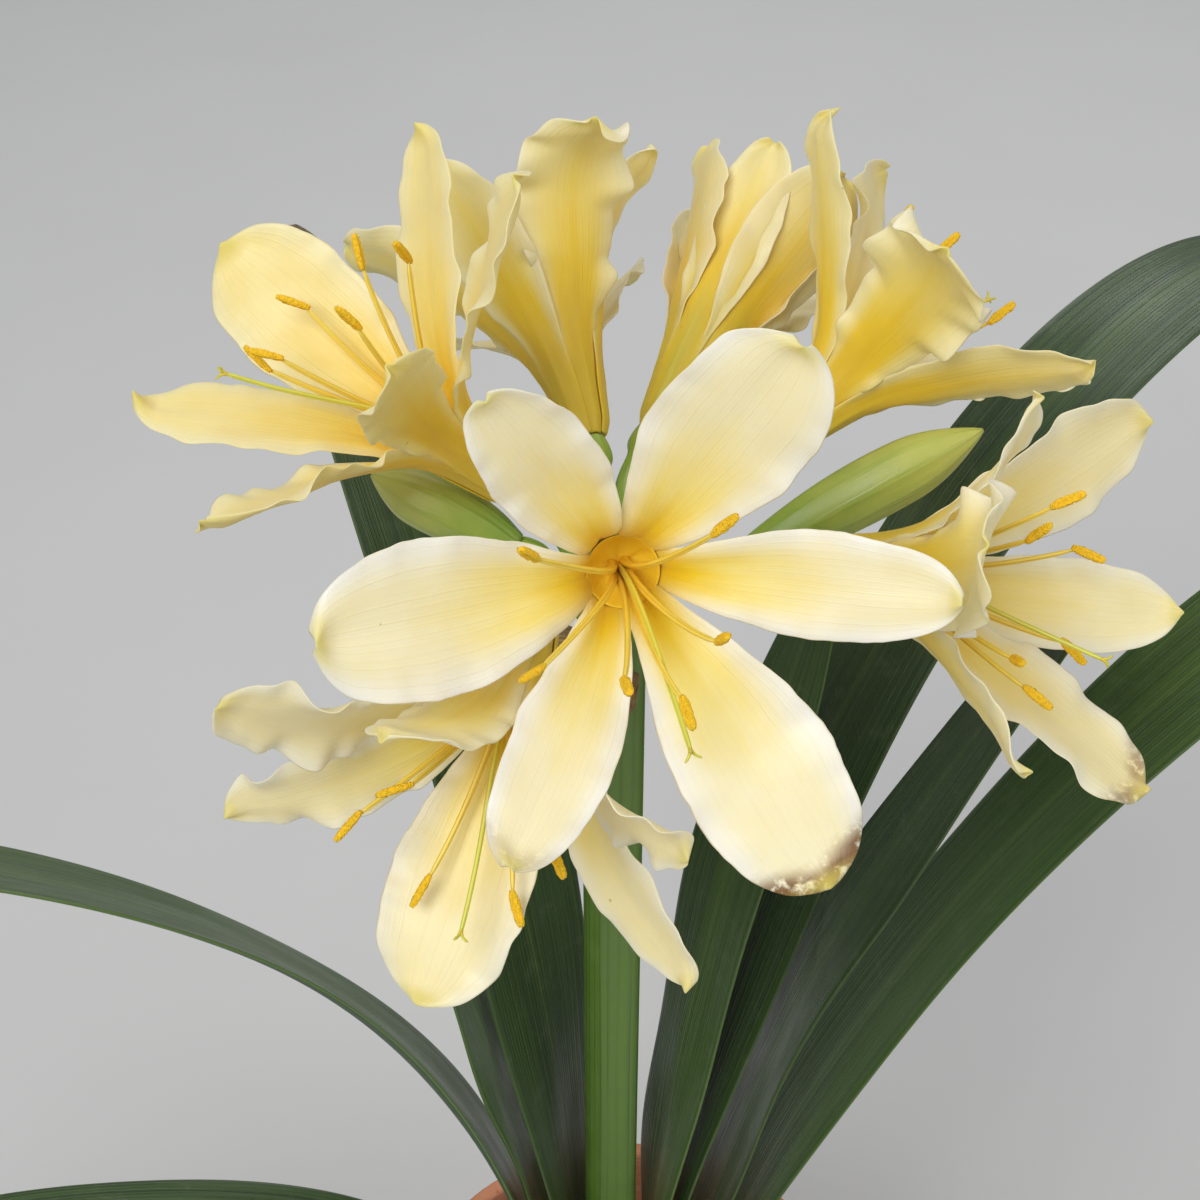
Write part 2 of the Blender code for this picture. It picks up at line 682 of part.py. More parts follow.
def main():
    clear_scene()
    parts = new_collection("clivia")
    cutters = new_collection("cutters")
    clay = make_material("terracotta", (0.55, 0.20, 0.10), 0.85)
    earth = make_material("potting_soil", (0.05, 0.035, 0.022), 0.95)
    green = make_material("leaf_green", (0.05, 0.14, 0.03), 0.42)
    pale_green = make_material("stalk_green", (0.22, 0.38, 0.07), 0.45)
    dry = make_material("bract_brown", (0.42, 0.30, 0.16), 0.8)
    petal = make_material("petal_cream", (0.95, 0.84, 0.45), 0.55)
    pollen = make_material("pollen_orange", (0.95, 0.55, 0.05), 0.8)
    make_pot(parts, cutters, clay)
    make_soil(parts, cutters, earth)
    make_crown("crown", 0, parts, pale_green)
    make_flower_stalk(parts, pale_green)
    for name, leaf in LEAVES.items():
        make_leaf("leaf_" + name, leaf, parts, green)
    for name, bract in BRACTS.items():
        make_leaf("bract_" + name, bract, parts, dry)
    for name, flower in FLOWERS.items():
        make_perianth("perianth_" + name, flower, parts, petal)
        make_stamens("stamens_" + name, flower, parts, pollen)
        make_style("style_" + name, flower, parts, pale_green)
        curve_tube("pedicel_" + name, *pedicel_points(flower), parts, pale_green)
    for name, bud in BUDS.items():
        make_bud("bud_" + name, bud, parts, pale_green)
        curve_tube("pedicel_bud_" + name, *pedicel_points(bud), parts, pale_green)


main()
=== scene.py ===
"""The looks of a potted clivia: cream and yellow flowers over dark strap leaves, in a terracotta pot.

Metres and +Z up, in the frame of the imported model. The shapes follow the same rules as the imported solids,
with finer meshes, ruffled margins, veins, pollen and crumbs of bark and grit added.
"""

from __future__ import annotations

import json
import logging
import math
import random
from dataclasses import dataclass, field
from enum import Enum
from typing import Callable, Iterable, Sequence

import bpy
from mathutils import Matrix, Vector, noise

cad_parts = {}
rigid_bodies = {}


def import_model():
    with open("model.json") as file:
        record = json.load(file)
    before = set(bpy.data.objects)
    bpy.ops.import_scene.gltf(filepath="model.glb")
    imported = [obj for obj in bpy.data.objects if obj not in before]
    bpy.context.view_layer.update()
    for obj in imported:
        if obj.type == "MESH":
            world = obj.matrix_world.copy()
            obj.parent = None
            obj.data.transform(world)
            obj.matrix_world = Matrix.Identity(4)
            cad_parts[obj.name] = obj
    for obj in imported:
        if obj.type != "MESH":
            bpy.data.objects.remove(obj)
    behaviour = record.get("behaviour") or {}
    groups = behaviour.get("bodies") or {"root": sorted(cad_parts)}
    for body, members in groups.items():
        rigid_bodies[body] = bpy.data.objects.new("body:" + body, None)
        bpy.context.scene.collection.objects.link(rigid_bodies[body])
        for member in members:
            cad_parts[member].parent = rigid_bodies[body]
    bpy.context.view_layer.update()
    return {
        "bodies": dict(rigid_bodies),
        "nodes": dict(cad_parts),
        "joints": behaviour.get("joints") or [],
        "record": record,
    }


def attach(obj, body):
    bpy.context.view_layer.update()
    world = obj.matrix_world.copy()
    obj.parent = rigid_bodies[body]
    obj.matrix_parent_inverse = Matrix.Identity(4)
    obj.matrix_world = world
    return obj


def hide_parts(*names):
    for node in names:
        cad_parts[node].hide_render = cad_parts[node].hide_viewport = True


LOG = logging.getLogger("clivia")
Colour = tuple[float, float, float]
Tones = tuple[float, float, float, float]
Place = Callable[[float, float], Vector]
Span = Callable[[float, float], float]
UP = Vector((0.0, 0.0, 1.0)).freeze()

# Driving sizes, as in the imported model
POT_HEIGHT = 0.128
POT_RIM_RADIUS = 0.071
POT_FOOT_RADIUS = 0.049
POT_WALL = 0.005
POT_FLOOR = 0.006
SOIL_TOP = 0.108
CROWN_TOP = 0.116
STALK_X = -0.006
UMBEL = Vector((STALK_X, 0.0, 0.428))
TUBE_LENGTH = 0.012
TUBE_FOOT_RADIUS = 0.0036
TUBE_MOUTH_RADIUS = 0.0058
BRACT_Z = 0.413

# Sizes that the looks add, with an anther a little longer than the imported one
LEAF_WALL = 0.0026
PAPER_WALL = 0.0006
LEAF_ROWS = 64
PAPER_ROWS = 18
ANTHER_ROD_LENGTH = 0.0072
ANTHER_ROD_RADIUS = 0.00082
SOIL_EDGE = 0.0618


class Slot(Enum):
    """The record's material slots, one of which is passed with each piece."""

    CLAY = "terracotta"
    SOIL = "soil"
    LEAF = "leaf"
    STALK = "stalk"
    PETAL = "petal"
    POLLEN = "pollen"
    BRACT = "bract"


class Whorl(Enum):
    """The ring that a tepal belongs to, with how far its foot stands out from the tube's wall, in metres."""

    OUTER = 0.0005
    INNER = -0.0003


def smooth(x: float) -> float:
    """Eases from 0 to 1.

    Args:
        x: A share, which is held between 0 and 1.

    Returns:
        The eased share.
    """
    x = min(1.0, max(0.0, x))
    return x * x * (3 - 2 * x)


def direction(azimuth: float, elevation: float) -> Vector:
    """Gives a unit vector.

    Args:
        azimuth: Degrees from +X towards +Y.
        elevation: Degrees above the horizon.

    Returns:
        The vector.
    """
    a, e = math.radians(azimuth), math.radians(elevation)
    return Vector((math.cos(a) * math.cos(e), math.sin(a) * math.cos(e), math.sin(e)))


def radial(turn: float, reach: float = 1.0, height: float = 0.0) -> Vector:
    """Gives a point at a turn of some radians about the Z axis."""
    return Vector((reach * math.cos(turn), reach * math.sin(turn), height))


def bell(x: float, width: float) -> float:
    """Gives a bell curve, which is 1 where x is 0."""
    return math.exp(-((x / width) ** 2))


def oval_reach(turn: float, x: float, y: float) -> float:
    """Gives how far an oval with half axes x and y reaches at a turn in radians."""
    return x * y / math.hypot(y * math.cos(turn), x * math.sin(turn))


def waver(x: float, y: float, z: float) -> float:
    """Gives smooth noise at a place, from -1 to 1."""
    return noise.noise(Vector((x, y, z)))


def make_active(piece: bpy.types.Object) -> None:
    """Selects one object alone and makes it active.

    Args:
        piece: The object.
    """
    bpy.ops.object.select_all(action="DESELECT")
    piece.select_set(True)
    bpy.context.view_layer.objects.active = piece


def apply_modifier(piece: bpy.types.Object, kind: str, **settings: object) -> None:
    """Adds a modifier and applies it.

    Args:
        piece: The object to change.
        kind: The modifier's type.
        settings: Values of the modifier's own settings.
    """
    modifier = piece.modifiers.new(kind.title(), kind)
    for key, value in settings.items():
        setattr(modifier, key, value)
    make_active(piece)
    bpy.ops.object.modifier_apply(modifier=modifier.name)


def subdivide(piece: bpy.types.Object, levels: int = 1) -> None:
    """Applies a Subdivision Surface of some levels."""
    apply_modifier(piece, "SUBSURF", levels=levels, render_levels=levels)


def grid_places(across: int, along: int) -> list[tuple[float, float]]:
    """Lists the places of a sheet's points in mesh order.

    Args:
        across: Faces across.
        along: Faces along.

    Returns:
        For each point v, -1 to 1 across, and t, 0 to 1 along.
    """
    return [(2 * i / across - 1, j / along) for j in range(along + 1) for i in range(across + 1)]


def paint(piece: bpy.types.Object, tones: Iterable[Tones]) -> None:
    """Stores the tones that the finishes read: green, brown, golden tip and a deeper yellow painted as shade.

    Args:
        piece: The sheet.
        tones: The four tones of each point, each from 0 to 1, in mesh order.
    """
    stored = piece.data.attributes.new("tone", "FLOAT_COLOR", "POINT")
    for item, tone in zip(stored.data, tones):
        item.color = tone


def give_wall(
    piece: bpy.types.Object, thickness: float, margin_share: float, body: Sequence[float],
    materials: Sequence[bpy.types.Material],
) -> None:
    """Gives a sheet its thickness, which thins towards its margin, and its two materials.

    Args:
        piece: The sheet.
        thickness: Metres at the middle.
        margin_share: The share of it that the margin keeps.
        body: Each point's weight in mesh order, 1 at the middle and 0 at the margin.
        materials: The material of the side that the faces point to, and that of the other side.
    """
    for material in materials:
        piece.data.materials.append(material)
    group = piece.vertex_groups.new(name="Body")
    for index, weight in enumerate(body):
        group.add([index], weight, "REPLACE")
    apply_modifier(
        piece, "SOLIDIFY", thickness=thickness, offset=0.0, material_offset=1, vertex_group="Body",
        thickness_vertex_group=margin_share,
    )
    subdivide(piece)


def primitive(name: str, add: Callable[..., set], **settings: object) -> bpy.types.Object:
    """Adds one of Blender's own shapes.

    Args:
        name: The piece's name.
        add: The operator that adds it.
        settings: Values of the operator's own settings.

    Returns:
        The new object.
    """
    bpy.ops.object.select_all(action="DESELECT")
    add(**settings)
    piece = bpy.context.object
    piece.name = piece.data.name = name
    return piece


def shaped_sheet(name: str, across: int, along: int, place: Place) -> bpy.types.Object:
    """Adds a grid and moves its points to a surface. Its UV map keeps the place in the grid.

    Args:
        name: The piece's name.
        across: Faces across.
        along: Faces along.
        place: Gives a point from v, -1 to 1 across, and t, 0 to 1 along.

    Returns:
        The new object, with smooth faces.
    """
    add = bpy.ops.mesh.primitive_grid_add
    piece = primitive(name, add, x_subdivisions=across, y_subdivisions=along, size=2, calc_uvs=True)
    for vert in piece.data.vertices:
        vert.co = place(vert.co.x, (vert.co.y + 1) / 2)
    bpy.ops.object.shade_smooth()
    return piece


def weld(piece: bpy.types.Object, distance: float = 0.000002) -> None:
    """Closes a shape's seam and poles and turns its faces outwards.

    Args:
        piece: The object to close.
        distance: How near two points are merged, in metres.
    """
    make_active(piece)
    bpy.ops.object.mode_set(mode="EDIT")
    bpy.ops.mesh.select_all(action="SELECT")
    bpy.ops.mesh.remove_doubles(threshold=distance)
    bpy.ops.mesh.normals_make_consistent(inside=False)
    bpy.ops.object.mode_set(mode="OBJECT")


def path_frames(path: Sequence[Vector]) -> list[tuple[Vector, Vector, Vector]]:
    """Carries a pair of side directions along a path without turning about it.

    Args:
        path: Points of the centre line.

    Returns:
        For each point its place and its two side directions.
    """
    frames = []
    ahead = (path[1] - path[0]).normalized()
    side = ahead.orthogonal().normalized()
    for i, point in enumerate(path):
        before, after = path[max(0, i - 1)], path[min(len(path) - 1, i + 1)]
        ahead = (after - before).normalized()
        side = (side - ahead * side.dot(ahead)).normalized()
        frames.append((point, side, ahead.cross(side)))
    return frames


def sweep(name: str, path: Sequence[Vector], radius: Span, sides: int = 10) -> bpy.types.Object:
    """Makes a closed rod round a path.

    Args:
        name: The piece's name.
        path: Points of the centre line.
        radius: Gives a radius from the turn in radians and the share of the way along.
        sides: Faces round the rod.

    Returns:
        The new object. Its UV map holds the turn and the way along.
    """
    frames = path_frames(path)
    last = len(path) + 1

    def place(v: float, t: float) -> Vector:
        """Gives a point of the rod's skin, or its end's middle in the first and last row.

        Args:
            v: The turn in half circles.
            t: The share of the rows.

        Returns:
            The point.
        """
        row = round(t * last)
        index = min(max(row - 1, 0), len(path) - 1)
        centre, side, up = frames[index]
        if row in (0, last):
            return centre
        turn = math.pi * v
        reach = radius(turn, index / (len(path) - 1))
        return centre + (side * math.cos(turn) + up * math.sin(turn)) * reach

    piece = shaped_sheet(name, sides, last, place)
    weld(piece)
    return piece


def turned(name: str, profile: Sequence[tuple[float, float]], steps: int) -> bpy.types.Object:
    """Turns a closed profile round the Z axis.

    Args:
        name: The piece's name.
        profile: (radius, height) points that start and end on the axis.
        steps: Faces round the axis.

    Returns:
        The new object.
    """
    last = len(profile) - 1

    def place(v: float, t: float) -> Vector:
        """Gives the profile's point at a turn of v half circles."""
        radius, height = profile[round(t * last)]
        return radial(math.pi * v, radius, height)

    piece = shaped_sheet(name, steps, last, place)
    weld(piece)
    return piece


def rounded(
    profile: Sequence[tuple[float, float]], fillet: float, steps: int = 3, longest: float = 0.006
) -> list[tuple[float, float]]:
    """Rounds the corners of a profile and adds points along its runs.

    Args:
        profile: (radius, height) points.
        fillet: How far from a corner its rounding starts, in metres.
        steps: Faces in each rounding.
        longest: The longest run without a point, in metres.

    Returns:
        The finer profile.
    """
    made = [profile[0]]
    for before, corner, after in zip(profile, profile[1:], profile[2:]):
        here = Vector(corner)
        to_before, to_after = Vector(before) - here, Vector(after) - here
        start = here + to_before.normalized() * min(fillet, to_before.length * 0.45)
        end = here + to_after.normalized() * min(fillet, to_after.length * 0.45)
        for i in range(steps + 1):
            t = i / steps
            made.append(tuple(start * (1 - t) ** 2 + here * 2 * t * (1 - t) + end * t * t))
    made.append(profile[-1])
    finer = [made[0]]
    for a, b in zip(made, made[1:]):
        count = max(1, math.ceil((Vector(b) - Vector(a)).length / longest))
        finer += [tuple(Vector(a).lerp(Vector(b), (i + 1) / count)) for i in range(count)]
    return finer


def joined(name: str, parts: Iterable[bpy.types.Object]) -> bpy.types.Object:
    """Joins objects into one.

    Args:
        name: The joined piece's name.
        parts: The objects, which are used up.

    Returns:
        The joined object.
    """
    parts = list(parts)
    make_active(parts[0])
    for part in parts:
        part.select_set(True)
    bpy.ops.object.join()
    whole = bpy.context.object
    whole.name = whole.data.name = name
    return whole


def copied(piece: bpy.types.Object, name: str, matrix: Matrix) -> bpy.types.Object:
    """Copies a piece with its own mesh and puts the copy in its place.

    Args:
        piece: The model.
        name: The copy's name.
        matrix: Where the copy goes, which is applied to its mesh.

    Returns:
        The copy.
    """
    twin = piece.copy()
    twin.data = piece.data.copy()
    twin.name = twin.data.name = name
    bpy.context.scene.collection.objects.link(twin)
    twin.data.transform(matrix)
    return twin


def finish_piece(
    piece: bpy.types.Object, slot: Slot, materials: Sequence[bpy.types.Material], nodes: Sequence[str]
) -> bpy.types.Object:
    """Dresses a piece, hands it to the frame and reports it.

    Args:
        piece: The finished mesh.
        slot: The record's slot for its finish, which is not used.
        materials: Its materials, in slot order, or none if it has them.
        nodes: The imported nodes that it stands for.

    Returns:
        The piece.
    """
    for index, material in enumerate(materials):
        if index < len(piece.data.materials):
            piece.data.materials[index] = material
        else:
            piece.data.materials.append(material)
    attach(piece, "root")
    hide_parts(*nodes)
    LOG.info("%s: %d faces, for %s", piece.name, len(piece.data.polygons), ", ".join(nodes))
    return piece


class MaterialTree:
    """Short ways to lay the nodes of one material or group."""

    def __init__(self, tree: bpy.types.NodeTree) -> None:
        """Keeps the tree."""
        self.tree = tree

    def add(self, kind: str, **settings: object) -> bpy.types.Node:
        """Adds a node.

        Args:
            kind: The node's type.
            settings: Values of the node's own settings.

        Returns:
            The node.
        """
        node = self.tree.nodes.new(kind)
        for key, value in settings.items():
            setattr(node, key, value)
        return node

    def feed(self, socket: bpy.types.NodeSocket, value: object) -> None:
        """Links a socket, or sets it when the value is plain.

        Args:
            socket: The input to feed.
            value: Another node's output, or a plain value.
        """
        if isinstance(value, bpy.types.NodeSocket):
            self.tree.links.new(value, socket)
        else:
            socket.default_value = value

    def own_uv(self) -> bpy.types.NodeSocket:
        """Gives the place on the piece's own UV map."""
        return self.add("ShaderNodeUVMap", uv_map="UVMap").outputs[0]

    def own_place(self) -> bpy.types.NodeSocket:
        """Gives the place in the piece's own space."""
        return self.add("ShaderNodeTexCoord").outputs["Object"]

    def axes(self, vector: object) -> bpy.types.NodeOutputs:
        """Splits a vector.

        Args:
            vector: The vector.

        Returns:
            The outputs X, Y and Z.
        """
        node = self.add("ShaderNodeSeparateXYZ")
        self.feed(node.inputs[0], vector)
        return node.outputs

    def channels(self, colour: object) -> bpy.types.NodeOutputs:
        """Splits a colour.

        Args:
            colour: The colour.

        Returns:
            The outputs for red, green and blue.
        """
        node = self.add("ShaderNodeSeparateColor")
        self.feed(node.inputs[0], colour)
        return node.outputs

    def times(self, first: object, second: object) -> bpy.types.NodeSocket:
        """Multiplies two values."""
        return self.math("MULTIPLY", first, second)

    def scaled_sum(self, value: object, scale: object, base: object) -> bpy.types.NodeSocket:
        """Scales a value and adds it to another."""
        return self.math("MULTIPLY_ADD", value, scale, base)

    def from_middle(self, across: object) -> bpy.types.NodeSocket:
        """Gives how far a place is from the midrib, 1 at the margin, from its share of the way across."""
        return self.math("ABSOLUTE", self.scaled_sum(across, 2.0, -1.0))

    def math(self, operation: str, *values: object) -> bpy.types.NodeSocket:
        """Adds a Math node.

        Args:
            operation: What the node does.
            values: What it is fed, in order.

        Returns:
            Its value.
        """
        node = self.add("ShaderNodeMath", operation=operation)
        for socket, value in zip(node.inputs, values):
            self.feed(socket, value)
        return node.outputs[0]

    def between(
        self, value: object, low: float, high: float, start: float = 0, end: float = 1
    ) -> bpy.types.NodeSocket:
        """Eases a value from one level to another.

        Args:
            value: The value to read.
            low: Where it leaves the first level.
            high: Where it reaches the second level.
            start: The first level.
            end: The second level.

        Returns:
            The eased value.
        """
        node = self.add("ShaderNodeMapRange", interpolation_type="SMOOTHSTEP")
        for socket, given in zip(node.inputs, (value, low, high, start, end)):
            self.feed(socket, given)
        return node.outputs[0]

    def ramp(self, value: object, stops: Sequence[tuple[float, Colour]]) -> bpy.types.NodeSocket:
        """Runs a value through a colour ramp.

        Args:
            value: The value to read.
            stops: (position, colour) of each stop.

        Returns:
            The colour.
        """
        node = self.add("ShaderNodeValToRGB")
        band = node.color_ramp
        for _ in stops[2:]:
            band.elements.new(0.5)
        for element, (position, colour) in zip(band.elements, stops):
            element.position = position
            element.color = (*colour, 1)
        self.feed(node.inputs["Fac"], value)
        return node.outputs["Color"]

    def mix(self, share: object, first: object, second: object, blend: str = "MIX") -> bpy.types.NodeSocket:
        """Mixes two colours, given as sockets or as plain colours.

        Args:
            share: How much of the second colour shows.
            first: The first colour.
            second: The second colour.
            blend: How the second is laid on the first.

        Returns:
            The mixed colour.
        """
        node = self.add("ShaderNodeMix", data_type="RGBA", blend_type=blend)
        self.feed(node.inputs["Factor"], share)
        for name, value in (("A", first), ("B", second)):
            socket = next(s for s in node.inputs if s.name == name and s.type == "RGBA")
            self.feed(socket, (*value, 1) if isinstance(value, tuple) else value)
        return next(s for s in node.outputs if s.type == "RGBA")

    def noise(
        self, vector: object, scale: float, detail: float = 3, roughness: float = 0.5
    ) -> bpy.types.NodeSocket:
        """Adds a noise texture.

        Args:
            vector: Where it is read.
            scale: How many waves it has in one unit of the vector.
            detail: How many finer layers it has.
            roughness: How strong the finer layers are.

        Returns:
            Its value.
        """
        node = self.add("ShaderNodeTexNoise")
        self.feed(node.inputs["Vector"], vector)
        self.feed(node.inputs["Scale"], scale)
        self.feed(node.inputs["Detail"], detail)
        self.feed(node.inputs["Roughness"], roughness)
        return node.outputs[0]

    def stretched(self, vector: object, scale: tuple[float, float, float]) -> bpy.types.NodeSocket:
        """Scales a vector along its own axes.

        Args:
            vector: The vector.
            scale: The scale on each axis.

        Returns:
            The scaled vector.
        """
        node = self.add("ShaderNodeVectorMath", operation="MULTIPLY")
        self.feed(node.inputs[0], vector)
        self.feed(node.inputs[1], scale)
        return node.outputs[0]


def new_group(
    name: str, inputs: dict[str, tuple[str, object]], outputs: Sequence[str], lay: Callable
) -> bpy.types.NodeTree:
    """Builds a node group once.

    Args:
        name: The group's name.
        inputs: Each input's socket type and first value.
        outputs: Names of the value outputs.
        lay: Lays the nodes: it gets the tree and the input sockets and returns the output values in order.

    Returns:
        The group.
    """
    group = bpy.data.node_groups.get(name)
    if group:
        return group
    group = bpy.data.node_groups.new(name, "ShaderNodeTree")
    for label, (kind, value) in inputs.items():
        socket = group.interface.new_socket(label, in_out="INPUT", socket_type=kind)
        if value is not None:
            socket.default_value = value
    for label in outputs:
        group.interface.new_socket(label, in_out="OUTPUT", socket_type="NodeSocketFloat")
    tree = MaterialTree(group)
    entry, leaving = tree.add("NodeGroupInput"), tree.add("NodeGroupOutput")
    for label, value in zip(outputs, lay(tree, entry.outputs)):
        tree.feed(leaving.inputs[label], value)
    return group


def vein_group() -> bpy.types.NodeTree:
    """Builds the group of parallel veins, which run along V of a UV map and wander a little.

    Returns:
        The group.
    """

    def lay(tree: MaterialTree, given: bpy.types.NodeInputs) -> list[bpy.types.NodeSocket]:
        """Lays the group's nodes.

        Args:
            tree: The group's tree.
            given: The group's inputs.

        Returns:
            The group's output values.
        """
        split = tree.axes(given["UV"])
        drift = tree.noise(tree.stretched(given["UV"], (3.0, 2.2, 1.0)), 1.0, 2)
        shifted = tree.scaled_sum(drift, given["Wander"], split["X"])
        turns = tree.times(shifted, given["Count"])
        wave = tree.math("SINE", tree.times(turns, 2 * math.pi))
        line = tree.between(wave, 0.2, 1.0)
        fade = tree.noise(tree.stretched(given["UV"], (40.0, 3.0, 1.0)), 1.0, 2)
        return [tree.times(line, tree.between(fade, 0.3, 0.7, 0.25, 1.0))]

    inputs = {
        "UV": ("NodeSocketVector", None),
        "Count": ("NodeSocketFloat", 20.0),
        "Wander": ("NodeSocketFloat", 0.03),
    }
    return new_group("Parallel veins", inputs, ["Line"], lay)


def speck_group() -> bpy.types.NodeTree:
    """Builds the group of small scattered specks, as of dried pollen, mineral grit or wear.

    Returns:
        The group.
    """

    def lay(tree: MaterialTree, given: bpy.types.NodeInputs) -> list[bpy.types.NodeSocket]:
        """Lays the group's nodes.

        Args:
            tree: The group's tree.
            given: The group's inputs.

        Returns:
            The group's output values.
        """
        cells = tree.add("ShaderNodeTexVoronoi")
        tree.feed(cells.inputs["Vector"], given["Vector"])
        tree.feed(cells.inputs["Scale"], given["Scale"])
        spot = tree.math("LESS_THAN", cells.outputs["Distance"], given["Size"])
        pick = tree.channels(cells.outputs["Color"])[0]
        return [tree.times(spot, tree.math("LESS_THAN", pick, given["Share"]))]

    inputs = {
        "Vector": ("NodeSocketVector", None),
        "Scale": ("NodeSocketFloat", 300.0),
        "Size": ("NodeSocketFloat", 0.25),
        "Share": ("NodeSocketFloat", 0.1),
    }
    return new_group("Specks", inputs, ["Mask"], lay)


class Finish:
    """A material that is built once and kept by its name."""

    name: str

    def lay(self, tree: MaterialTree, shader: bpy.types.Node) -> None:
        """Lays the nodes that feed the shader.

        Args:
            tree: The material's tree.
            shader: The shader.
        """
        raise NotImplementedError

    def material(self) -> bpy.types.Material:
        """Builds the material at its first use.

        Returns:
            The material.
        """
        made = bpy.data.materials.get(self.name)
        if made:
            return made
        made = bpy.data.materials.new(self.name)
        made.use_nodes = True
        tree = MaterialTree(made.node_tree)
        self.lay(tree, made.node_tree.nodes["Principled BSDF"])
        return made

    @staticmethod
    def surface(
        tree: MaterialTree, shader: bpy.types.Node, colour: object, roughness: tuple[object, float, float],
        relief: tuple[object, float], others: dict[str, object] | None = None,
    ) -> None:
        """Feeds the shader.

        Args:
            tree: The material's tree.
            shader: The shader.
            colour: The base colour.
            roughness: A noise, and the roughness at its low and at its high places.
            relief: The relief, from 0 to 1, and its full height in metres.
            others: Values of other inputs by their names.
        """
        source, low, high = roughness
        height, distance = relief
        node = tree.add("ShaderNodeBump")
        tree.feed(node.inputs["Distance"], distance)
        tree.feed(node.inputs["Height"], height)
        tree.feed(shader.inputs["Base Color"], colour)
        tree.feed(shader.inputs["Roughness"], tree.between(source, 0.3, 0.7, low, high))
        tree.feed(shader.inputs["Normal"], node.outputs["Normal"])
        for name, value in (others or {}).items():
            tree.feed(shader.inputs[name], value)

    @staticmethod
    def veins(tree: MaterialTree, uv: object, count: float, wander: float) -> bpy.types.NodeSocket:
        """Places the vein group.

        Args:
            tree: The material's tree.
            uv: The UV map that the veins follow.
            count: How many veins there are across it.
            wander: How far they stray sideways.

        Returns:
            The group's line, 1 on a vein.
        """
        node = tree.add("ShaderNodeGroup", node_tree=vein_group())
        tree.feed(node.inputs["UV"], uv)
        tree.feed(node.inputs["Count"], count)
        tree.feed(node.inputs["Wander"], wander)
        return node.outputs["Line"]

    @staticmethod
    def specks(
        tree: MaterialTree, vector: object, scale: float, size: float, share: float
    ) -> bpy.types.NodeSocket:
        """Places the speck group.

        Args:
            tree: The material's tree.
            vector: Where the specks lie.
            scale: How many cells there are in one unit of the vector.
            size: How large a speck is, as a share of its cell.
            share: The share of cells that have a speck.

        Returns:
            The group's mask, 1 on a speck.
        """
        node = tree.add("ShaderNodeGroup", node_tree=speck_group())
        tree.feed(node.inputs["Vector"], vector)
        for label, value in (("Scale", scale), ("Size", size), ("Share", share)):
            tree.feed(node.inputs[label], value)
        return node.outputs["Mask"]


@dataclass(frozen=True)
class PetalFinish(Finish):
    """A tepal's face: golden at the throat, pale yellow along the midrib, cream to white at the margin."""

    name: str
    throat: Colour
    gold: Colour
    body: Colour
    cream: Colour
    margin: Colour
    midrib_reach: float = 0.30
    green: Colour = (0.36, 0.50, 0.10)
    stain: Colour = (0.15, 0.062, 0.016)
    tip: Colour = (0.72, 0.60, 0.13)
    shade_yellow: Colour = (0.95, 0.84, 0.42)

    def lay(self, tree: MaterialTree, shader: bpy.types.Node) -> None:
        """Lays the nodes that feed the shader.

        Args:
            tree: The material's tree.
            shader: The shader.
        """
        uv = tree.own_uv()
        place = tree.own_place()
        split = tree.axes(uv)
        from_middle = tree.from_middle(split["X"])
        near_middle = tree.math("POWER", tree.math("SUBTRACT", 1.0, from_middle), 0.9)
        drift = tree.noise(tree.stretched(uv, (4.0, 3.0, 1.0)), 1.0, 3)
        along = tree.math("SUBTRACT", split["Y"], tree.times(near_middle, self.midrib_reach))
        along = tree.scaled_sum(tree.math("SUBTRACT", drift, 0.5), 0.22, along)
        colours = (self.throat, self.gold, self.body, self.cream, self.cream)
        colour = tree.ramp(along, list(zip((0.0, 0.16, 0.34, 0.58, 1.0), colours)))
        edge = tree.times(tree.between(from_middle, 0.45, 1.0), tree.between(split["Y"], 0.18, 0.5))
        colour = tree.mix(tree.times(edge, 0.85), colour, self.margin)
        line = self.veins(tree, uv, 17.0, 0.035)
        fine = self.veins(tree, uv, 41.0, 0.05)
        colour = tree.mix(tree.times(line, 0.06), colour, self.gold)
        cloud = tree.noise(place, 90.0, 4)
        colour = tree.mix(tree.between(cloud, 0.35, 0.75, 0.0, 0.16), colour, self.body, "MULTIPLY")
        stored = tree.add("ShaderNodeAttribute", attribute_name="tone")
        # Painted shade: a deeper yellow on the flowers that face away from the light
        colour = tree.mix(stored.outputs["Alpha"], colour, self.shade_yellow, "MULTIPLY")
        tone = tree.channels(stored.outputs["Color"])
        streak = tree.times(tone[0], tree.between(line, 0.0, 1.0, 0.65, 1.0))
        colour = tree.mix(streak, colour, self.green)
        blotch = tree.between(tree.noise(place, 420.0, 5, 0.65), 0.30, 0.52)
        colour = tree.mix(tree.times(tone[1], blotch), colour, self.stain)
        colour = tree.mix(tone[2], colour, self.tip)
        dots = self.specks(tree, place, 430.0, 0.15, 0.006)
        colour = tree.mix(tree.times(dots, 0.4), colour, self.stain)
        height = tree.scaled_sum(line, 0.5, tree.times(fine, 0.28))
        height = tree.scaled_sum(tree.noise(place, 2600.0, 2), 0.22, height)
        others = {
            "Subsurface Weight": 0.30,
            "Subsurface Radius": (1.0, 0.72, 0.28),
            "Subsurface Scale": 0.004,
            "Sheen Weight": 0.12,
            "Sheen Roughness": 0.4,
        }
        self.surface(tree, shader, colour, (cloud, 0.42, 0.58), (height, 0.00005), others)


